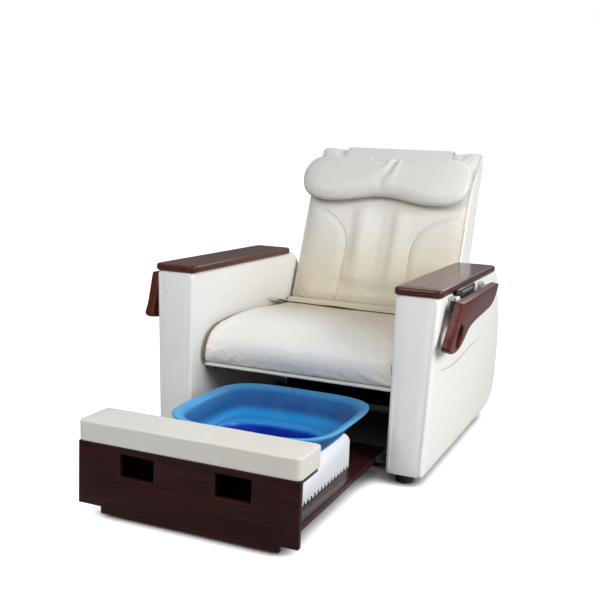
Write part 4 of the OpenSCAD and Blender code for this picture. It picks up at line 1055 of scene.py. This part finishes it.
def pillow_gathers(points, normals):
    """One broad fold that hangs from the middle of the top seam, a fainter one beside it, and soft dents."""
    x, t, s = back_axes(points)
    h = s - pillow_s
    relief = 0.0022 * soft_noise(points, (5.0, 9.0, 9.0), 6.0) + 0.0005 * soft_noise(points, (26.0, 26.0, 26.0), 1.0)
    folds = (((0.036, 0.086), (-0.024, -0.030), 0.0060, 0.014), ((-0.004, 0.088), (-0.040, 0.020), 0.0022, 0.012))
    for (x0, h0), (x1, h1), deep, wide in folds:
        dx, dh = x1 - x0, h1 - h0
        f = numpy.clip(((x - x0) * dx + (h - h0) * dh) / (dx * dx + dh * dh), 0, 1)
        aside = ((x - x0 - f * dx) * dh - (h - h0 - f * dh) * dx) / hypot(dx, dh)
        off = aside + 0.006 * numpy.sin(pi * f)
        beyond = numpy.hypot(x - x0 - f * dx, h - h0 - f * dh) - numpy.abs(aside)
        off = off / (wide * (0.7 + 0.9 * f))
        ridges = 0.8 * numpy.exp(-((off + 1.5) ** 2) * 0.7) + 0.35 * numpy.exp(-((off - 1.8) ** 2) * 0.6)
        relief += deep * (1 - f) ** 0.5 * hump(beyond, 0.012) * (ridges - hump(off, 1))
    gather = 0.0003 * numpy.sin(x * 2 * pi / 0.011 + 2 * numpy.sin(x * 90)) * hump(h - 0.090, 0.016)
    return relief * numpy.clip(to_sitter(normals) + 0.2, 0, 1) + gather * (numpy.abs(x) < 0.26)


def hang_pillow():
    """Its lower half has sagged, and it hangs a little to one side."""
    points, _ = points_of(pillow.data)
    sag = 0.07 * numpy.minimum(0.0, back_axes(points)[2] - pillow_s)
    points[:, 0] -= pillow_aside
    points[:, 1] += sag * sin(slope)
    points[:, 2] += sag * cos(slope)
    set_points(pillow.data, points)


reshape(pillow, pillow_gathers)
hang_pillow()


def make_pillow_piping():
    """Thin tan piping in the pillow's lower seam, from end to end; its tan also stands as painted shadow under the
    pillow's edge.
    """
    line = []
    for i in range(121):
        u = 0.965 * (2 * i / 120 - 1)
        low = pillow_s - 0.110 * (1 - abs(u) ** 8) ** 0.42 + 0.033 * exp(-((u / 0.38) ** 2))
        line.append(on_back(0.330 * u - pillow_aside, bend(low) - 0.020, low - 0.012))
    # painted shadow: the piping's tan stands also for the shadow under the pillow's lower edge
    tan = vinyl("tan_piping_and_painted_shadow", (0.40, 0.32, 0.20), (0.26, 0.2, 0.12), 900.0, 0.3, 0.1)
    skin = tube_along(on_surface(surface(pillow), line, 0.0003), 0.0012)
    add_piece("head_pillow_piping", skin, "headrest", "leather", tan)


make_pillow_piping()


def strap_line():
    """The strap's outer face from behind the pillow over the top and down the rear, as (t, s)."""
    off = 0.0036  # how far that face is from what the strap lies on
    low = pillow_s + 0.058
    front, rear, top, r = bend(back_len) + 0.002 - off, shell_rear(shell_top) + off, back_len + off, 0.009
    line = [(bend(s) + 0.002 - off, s) for s in (low + (back_len - 0.006 - low) * i / 14 for i in range(15))]
    line += arc(front + r, top - r, r, 180, 90)[1:]
    line += [(front + r + (rear - front - 2 * r) * i / 14, top) for i in range(1, 14)]
    line += arc(rear - r, top - r, r, 90, 0)
    return line + [(shell_rear(s) + off, s) for s in (shell_top - 0.008 - 0.102 * i / 14 for i in range(1, 15))]


def rolled_edge(u):
    """How thick a doubled sheet still is at u, from -1 at one of its edges to 1 at the other."""
    return sqrt(max(0.0, 1 - max(0.0, (abs(u) - 0.985) / 0.015) ** 2))


def make_strap():
    """A strip of doubled vinyl with rolled edges, stitched along both of them in front."""
    flat_line = strap_line()
    half, thick, count = 0.2146, 0.003, 60
    line, rings = [], []
    for i, (t, s) in enumerate(flat_line):
        a, b = flat_line[max(0, i - 1)], flat_line[min(len(flat_line) - 1, i + 1)]
        way = along_t * (b[0] - a[0]) + along_s * (b[1] - a[1])
        normal = Vector((1, 0, 0)).cross(way).normalized()
        if normal.dot(on_back(0, t, s) - on_back(0, 0.05, 0.55)) < 0:
            normal = -normal
        line.append(on_back(0, t, s) - normal * thick)
        outer, inner = [], []
        for k in range(count + 1):
            u = 2 * k / count - 1
            spot = line[-1] + Vector((u * half, 0, 0)) + normal * 0.00035 * noise.noise(Vector((u * 5, i * 0.16, 0)))
            outer.append(spot + normal * thick * 0.5 * (1 + rolled_edge(u)))
            inner.append(spot + normal * thick * 0.5 * (1 - rolled_edge(u)))
        rings.append(outer + inner[::-1])
    points, faces = skin_rings(rings, False)
    n = len(rings[0])
    for start, flip in ((0, False), (len(points) - n, True)):
        for k in range(count):
            quad = (start + k, start + k + 1, start + n - 2 - k, start + n - 1 - k)
            faces.append(quad[::-1] if flip else quad)
    name = "head_pillow_strap"
    strap = outward(add_piece(name + "_cover", (points, faces), "headrest", "leather", pillow_vinyl, name))
    run = sum((b - a).length for a, b in zip(line, line[1:]))
    strap_surface = surface(strap)
    for side, name in sides:
        seam = [on_back(side * 0.2085, t, s) for t, s in flat_line[:15]]
        seam = [a.lerp(b, f / 6) for a, b in zip(seam, seam[1:]) for f in range(6)]
        stitches(name + "_strap_thread", strap_surface, seam, along_t, "headrest")


make_strap()


# ---------------------------------------------------------------- bottom flap of the back cover
# The pad's cover ends in a loose flap that lies on the seat and hides the gap. Its front edge is rolled
# into a hem with a dark brown binding under it as a painted shadow line, and one corner stands up where it meets the
# arm.

def flap_front(x):
    """Where its hem lies: it has been pulled forward on one side."""
    slid = 0.062 * float(ease((-0.04 - x) / 0.24)) - 0.095 * float(ease((-x - 0.276) / 0.038))
    return front_y + 0.574 - 0.010 * exp(-(((x + 0.05) / 0.06) ** 2)) + slid


def doubled_sheet(top, under, columns):
    """The skin of a thin sheet with an upper and an under side, both in rows of columns + 1 points."""
    n, deck = columns + 1, len(top)
    rows = deck // n - 1
    faces = []
    for a in (i * n + k for i in range(rows) for k in range(columns)):
        faces.append((a, a + 1, a + n + 1, a + n))
        faces.append((deck + a, deck + a + n, deck + a + n + 1, deck + a + 1))
    rim = list(range(n)) + [i * n + n - 1 for i in range(1, rows + 1)]
    rim += [rows * n + k for k in range(n - 2, -1, -1)] + [i * n for i in range(rows - 1, 0, -1)]
    faces += [(a, deck + a, deck + b, b) for a, b in zip(rim, rim[1:] + rim[:1])]
    return top + under, faces


def make_flap():
    rows, columns, half = 34, 96, 0.3160
    rear = back_foot.y + 0.004
    top, under = [], []
    for i in range(rows + 1):
        f = i / rows
        for k in range(columns + 1):
            u = 2 * k / columns - 1
            x = u * half
            y = rear + (flap_front(x) - rear) * f
            above_seat = Vector((max(-0.306, min(0.306, x)), min(y, front_y + 0.700), 1.0))
            seat_z = seat_surface.ray_cast(above_seat, Vector((0, 0, -1)))[0].z
            behind = float(ease((y - front_y - 0.695) / 0.04))
            ground = seat_z + max(0.0, back_foot.z + 0.004 - seat_z) * behind
            wave = 0.5 + 0.5 * noise.noise(Vector((x * 7, y * 16, 3)))
            loose = 0.0006 + 0.0030 * wave * sin(pi * min(1.0, f * 1.1))
            loose += 0.0035 * exp(-(((x + 0.06) / 0.06) ** 2)) * f
            z = ground + loose + 0.030 * float(ease((-u - 0.86) / 0.14)) * f ** 1.5
            roll = exp(-(((f - 0.955) / 0.03) ** 2))
            tip = sqrt(max(0.0, 1 - max(0.0, (f - 0.965) / 0.035) ** 2))
            top.append(Vector((x, y, z + (0.0014 + 0.0052 * roll) * tip * rolled_edge(u) + 0.0004)))
            under.append(Vector((x, y, z)))
    flap = outward(add_piece("back_cover_flap", doubled_sheet(top, under, columns), None, "leather", back_vinyl))
    hem = [p + Vector((0, -0.0006, 0.0008)) for p in under[-columns - 1:][3:-2]]
    # painted shadow: a near-black binding under the hem stands for the shadow beneath it
    brown = vinyl("hem_shadow_binding", (0.055, 0.030, 0.015), (0.03, 0.018, 0.01), 900.0, 0.3, 0.1)
    binding = add_piece("back_cover_flap_shadow_binding", tube_along(hem, 0.0028), None, "leather", brown)
    for piece in (flap, binding):
        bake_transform(piece)


make_flap()


# ---------------------------------------------------------------- footrest cushion
# A block of firm foam in the same ivory vinyl, glued to the drawer's top board. Its edges are soft.

def make_footrest():
    low, high = (Vector(c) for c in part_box("footrest_cushion"))
    wide, front = high.x + 0.0045, low.y - 0.003

    def place(x, y, z):
        soft = noise.noise(Vector((x * 9, y * 9, z * 9)))
        fine = noise.noise(Vector((x * 30, y * 30, z * 22)))
        up = min(1.0, max(0.0, (z - low.z) / 0.02))
        hollow = 0.0020 * exp(-((x / 0.2) ** 4)) * exp(-(((y - low.y - 0.075) / 0.045) ** 2)) * (z > high.z)
        level = min(high.z + 0.0010, max(low.z, z + 0.0006 * soft * up - hollow))  # it passes under the seat
        return (x + 0.0006 * soft * up, y + (0.0014 * soft + 0.0005 * fine) * up, level)

    levels = [low.z + (high.z - low.z) * k / 8 for k in range(1, 8)]
    outline = even_points(rounded_box(-wide, wide, front, high.y, 0.014, 6), 0.007)
    skin = upholster(outline, low.z, high.z - 0.0002, 0.0045, place, 0.0010, 12, 5, levels)
    ivory = vinyl_with_painted_warm_shade("footrest_vinyl", (0.70, 0.70, 0.68), (0.66, 0.64, 0.58), -0.9, 0.4, (0.4, 0.2, 0.0))
    cushion = add_piece("footrest_cushion_cover", skin, "drawer", "leather", ivory, "footrest_cushion")


make_footrest()


# ---------------------------------------------------------------- foot basin
# A deep blow-moulded tub in translucent blue plastic with a wide flared rim, a ledge and a foot well. It
# stands loose on its moulded white stand.

def moulded(name, colour, rough, ripple=0.1, coat=0.0, scale=100.0, wear=0.1, shine=0.5):
    """Moulded plastic: a slight orange peel and dull scuffs where it is handled."""
    material, tree, place = new_material(name)
    if callable(colour):
        colour = colour(tree, place)
    scuffs = spread(tree, cloudy(tree, place, scale * 0.4, 6.0, 1.0), 0.45, 0.75, 0.0, wear)
    return finish(
        material, between_colours(tree, scuffs, colour, (0.5, 0.5, 0.5)), product(tree, scuffs, 0.8, rough),
        (ripple, 0.0008, cloudy(tree, place, scale * 6, 2.0)),
        Coat_Weight=coat, Coat_Roughness=0.15, Specular_IOR_Level=shine,
    )


def basin_colour(tree, place):
    """Painted light and shade: bright where light gets through the ledge and the rim, painted shade on the walls
    between them and towards the seat, which shades it, and deep blue in the well."""
    split = put(tree, "SeparateXYZ", {0: place}).outputs
    depth = spread(tree, split["Z"], 0.112, 0.246)
    ramp = put(tree, "ValToRGB", {0: depth})
    stops = (
        (0.0, (0.002, 0.014, 0.28)), (0.40, (0.003, 0.026, 0.36)), (0.47, (0.004, 0.19, 0.50)),
        (0.56, (0.004, 0.18, 0.47)), (0.68, (0.004, 0.075, 0.25)), (0.90, (0.007, 0.125, 0.35)),
        (0.95, (0.028, 0.25, 0.54)), (1.0, (0.05, 0.33, 0.64)),
    )
    while len(ramp.color_ramp.elements) < len(stops):
        ramp.color_ramp.elements.new(0.5)
    for element, (at, colour) in zip(ramp.color_ramp.elements, stops):
        element.position = at
        element.color = (*colour, 1)
    # painted shade: darker towards the rear, where the seat shades the basin
    rear = spread(tree, split["Y"], front_y - 0.30, front_y - 0.07, 0.0, 0.5, "SMOOTHSTEP")
    shade = product(tree, rear, spread(tree, depth, 0.58, 0.66))
    return between_colours(tree, shade, ramp.outputs[0], (0.002, 0.035, 0.14))


def squircle(hx, hy, k, count):
    points = []
    for i in range(count):
        c, s = cos(2 * pi * i / count), sin(2 * pi * i / count)
        points.append((hx * (1 if c > 0 else -1) * abs(c) ** (2 / k), hy * (1 if s > 0 else -1) * abs(s) ** (2 / k)))
    return points


def smooth_columns(rings, steps):
    """More rings between the given ones, on curves that pass through every given point."""
    def heading(step, next_step):
        way = step / max(step.length, 1e-9)
        return (way + next_step / next_step.length) * 0.5 if next_step.length > 1e-9 else way

    out = []
    last = len(rings) - 1
    for i in range(last):
        for f in (k / steps for k in range(steps)):
            h = (2 * f ** 3 - 3 * f ** 2 + 1, f ** 3 - 2 * f ** 2 + f, -2 * f ** 3 + 3 * f ** 2, f ** 3 - f ** 2)
            ring = []
            for p0, p1, p2, p3 in zip(rings[max(0, i - 1)], rings[i], rings[i + 1], rings[min(last, i + 2)]):
                step = p2 - p1
                pull = (heading(step, p1 - p0) * h[1] + heading(step, p3 - p2) * h[3]) * step.length * 0.8
                ring.append(p1 * h[0] + p2 * h[2] + pull)
            out.append(ring)
    return out + [rings[-1]]


def make_basin():
    low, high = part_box("foot_basin")
    cx = (low[0] + high[0]) / 2
    cy = front_y - 0.220
    floor_y, well_y0 = cy - 0.015, cy - 0.038
    z0 = low[2] + 0.062
    rim_x, rim_y = (high[0] - low[0]) / 2 - 0.0005, (high[1] - low[1]) / 2 - 0.0005
    well_x, well_y = rim_x - 0.082, rim_y - 0.123
    deep, up = -0.062, high[2] - z0

    def well(z, d, k):
        return z, well_x - d, well_y - d + 0.002, k, well_y0

    def wall(z, dx, dy, k, y):
        return z, rim_x - dx, rim_y - dy, k, y

    profile = [
        well(deep, 0.012, 2.6), well(deep + 0.004, 0.007, 2.8), well(-0.001, 0, 3), well(0, -0.001, 3),
        wall(0.0002, 0.062, 0.082, 3.6, floor_y), wall(0.006, 0.054, 0.072, 4, floor_y + 0.001),
        wall(0.032, 0.040, 0.050, 4.1, floor_y + 0.006), wall(up - 0.020, 0.026, 0.028, 4.2, cy - 0.003),
        wall(up - 0.008, 0.008, 0.008, 4, cy), wall(up - 0.005, 0, 0, 4, cy),
        wall(up - 0.0015, -0.0005, -0.0005, 4, cy), wall(up, 0.003, 0.003, 4, cy),
        wall(up - 0.002, 0.014, 0.014, 4, cy), wall(up - 0.008, 0.027, 0.030, 4.1, cy - 0.002),
        wall(0.036, 0.045, 0.056, 4, floor_y + 0.006), wall(0.012, 0.058, 0.077, 3.8, floor_y + 0.001),
        wall(0.005, 0.068, 0.088, 3.4, floor_y), well(0.003, 0.006, 3), well(-0.004, 0.009, 2.9),
        well(deep + 0.012, 0.014, 2.7), well(deep + 0.005, 0.024, 2.5),
    ]
    rings = [[Vector((cx + p[0], y + p[1], z0 + z)) for p in squircle(hx, hy, k, 144)] for z, hx, hy, k, y in profile]
    add_piece("foot_basin_tub", skin_rings(smooth_columns(rings, 4)), "basin", "basin_blue", basin_blue, "foot_basin")


basin_blue = moulded("basin_plastic", basin_colour, 0.34, 0.05, 0.05, 40.0, 0.03, 0.2)
make_basin()
stand_white = moulded("stand_plastic", (0.90, 0.93, 0.98), 0.42, 0.06, 0.1, 50.0, 0.05)
eased("basin_stand", "drawer", "stand_white", stand_white, 0.0022)


# ---------------------------------------------------------------- hand control
# A flat black case in a pocket on the arm's outer face, with four oblong grey keys on its front. Case and
# pocket are spark-eroded plastic; the keys are worn lighter by fingers.

black_case = moulded("control_case_plastic", (0.018, 0.018, 0.019), 0.36, 0.25, 0.15, 160.0, 0.10)
key_grey = moulded("key_plastic", (0.24, 0.25, 0.25), 0.5, scale=120.0, wear=0.2)
eased("hand_control", "handset", "black_plastic", black_case, 0.0022, 3)
eased("control_holder", "chair_base", "black_plastic", black_case, 0.0009)
for job in ("recline", "raise", "massage", "power"):
    eased("button_" + job, job + "_button", "button_grey", key_grey, 0.0009)


# ---------------------------------------------------------------- feet, wheels and the chair's inside
# Moulded rubber feet and wheels, powder-coated steel tubes and rails, zinc-plated bolts and pins, raw birch
# plywood, and black boxes of textured plastic.

def rough_metal(name, colour, metallic, rough, scale, stain, bump):
    material, tree, place = new_material(name)
    stained = spread(tree, cloudy(tree, place, scale, 6.0, 0.4), 0.42, 0.68)
    return finish(
        material, between_colours(tree, stained, colour, stain), product(tree, stained, 0.16, rough),
        (bump, 0.0004, cloudy(tree, place, scale * 22, 2.0)), Metallic=metallic,
    )


def plywood_material():
    """Raw birch with pale rotary-cut grain."""
    material, tree, place = new_material("raw_birch")
    flow = cloudy(tree, put(tree, "Mapping", {"Vector": place, "Scale": (3, 24, 24)}), 1.6, 5.0, 1.5)
    tone = between_colours(tree, flow, (0.36, 0.22, 0.11), (0.66, 0.48, 0.28))
    return finish(material, tone, 0.7, (0.2, 0.0004, flow))


rubber_black = rough_metal("black_rubber", (0.016, 0.016, 0.016), 0.0, 0.62, 40.0, (0.035, 0.034, 0.032), 0.3)
powder_coat = rough_metal("black_powder_coat", (0.022, 0.022, 0.023), 0.0, 0.42, 30.0, (0.035, 0.034, 0.033), 0.35)
zinc = rough_metal("zinc_plating", (0.60, 0.60, 0.58), 1.0, 0.30, 60.0, (0.45, 0.44, 0.40), 0.12)
hinge_white = rough_metal("ivory_powder_coat", (0.72, 0.72, 0.70), 0.0, 0.42, 30.0, (0.66, 0.65, 0.62), 0.3)
nylon_grey = moulded("grey_nylon", (0.12, 0.12, 0.12), 0.5)
roller_grey = moulded("roller_plastic", (0.36, 0.36, 0.34), 0.5, wear=0.2)

eased("feet", "chair_base", "rubber", rubber_black, 0.0022, 3, 50)
for place in ("front_left", "front_right", "rear_left", "rear_right"):
    eased("wheel_" + place, place + "_wheel", "rubber", rubber_black, 0.0022, 3, 50)

finishes = {
    "bright_steel": zinc, "black_steel": powder_coat, "black_plastic": black_case, "plywood": plywood_material(),
    "nylon": nylon_grey, "roller_grey": roller_grey, "rubber": rubber_black, "leather": back_vinyl,
    "leather_shell": arm_vinyl, "leather_front": arm_vinyl, "mahogany": board_wood, "dark_panel": panel_wood,
    "basin_blue": basin_blue, "stand_white": stand_white, "button_grey": key_grey,
}
for part in frame["record"]["subparts"]:
    for holder in frame["nodes"][part["node"]].material_slots:
        holder.material = finishes[part["material_slot"]]
for node in ("tray_hinge_brackets", "left_tray_leaves", "right_tray_leaves", "seat_rails"):
    frame["nodes"][node].material_slots[0].material = hinge_white


# ---------------------------------------------------------------- shadow cloth
# A sheet of black spun cloth, stapled along the rear beam and the arms. It hangs behind the drawer as a
# painted shadow: its black closes off the dark space under the seat.

def shadow_cloth_material():
    """Spun-bonded cloth: a dull black felt of fine crossed fibres; its black stands as painted shade under the seat.
    """
    material, tree, place = new_material("spun_shadow_cloth")
    fibres = cloudy(tree, place, 420.0, 4.0, 2.0)
    tone = between_colours(tree, fibres, (0.004, 0.004, 0.005), (0.014, 0.014, 0.015))
    return finish(material, tone, 0.9, (0.3, 0.0005, fibres), Specular_IOR_Level=0.15)


def make_shadow_cloth():
    rows, columns, half, thick = 24, 70, 0.322, 0.0006
    top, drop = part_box("rear_cross_beam")[0][2] + 0.003, 0.210
    front = []
    for i in range(rows + 1):
        for k in range(columns + 1):
            x, down = half * (2 * k / columns - 1), drop * i / rows
            loose = min(1.0, down / 0.03) * min(1.0, (half - abs(x)) / 0.03)
            wave = 0.0011 * loose * noise.noise(Vector((x * 9, down * 5, 2)))
            hem = 0.003 * (1 + noise.noise(Vector((x * 14, 0, 8)))) * (down / drop) ** 2
            front.append(Vector((x, front_y + 0.7530 + wave, top - down + hem)))
    skin = doubled_sheet([p + Vector((0, thick, 0)) for p in front], front, columns)
    cloth = outward(add_piece("rear_shadow_cloth", skin, "chair_base", "black_plastic", shadow_cloth_material()))


make_shadow_cloth()
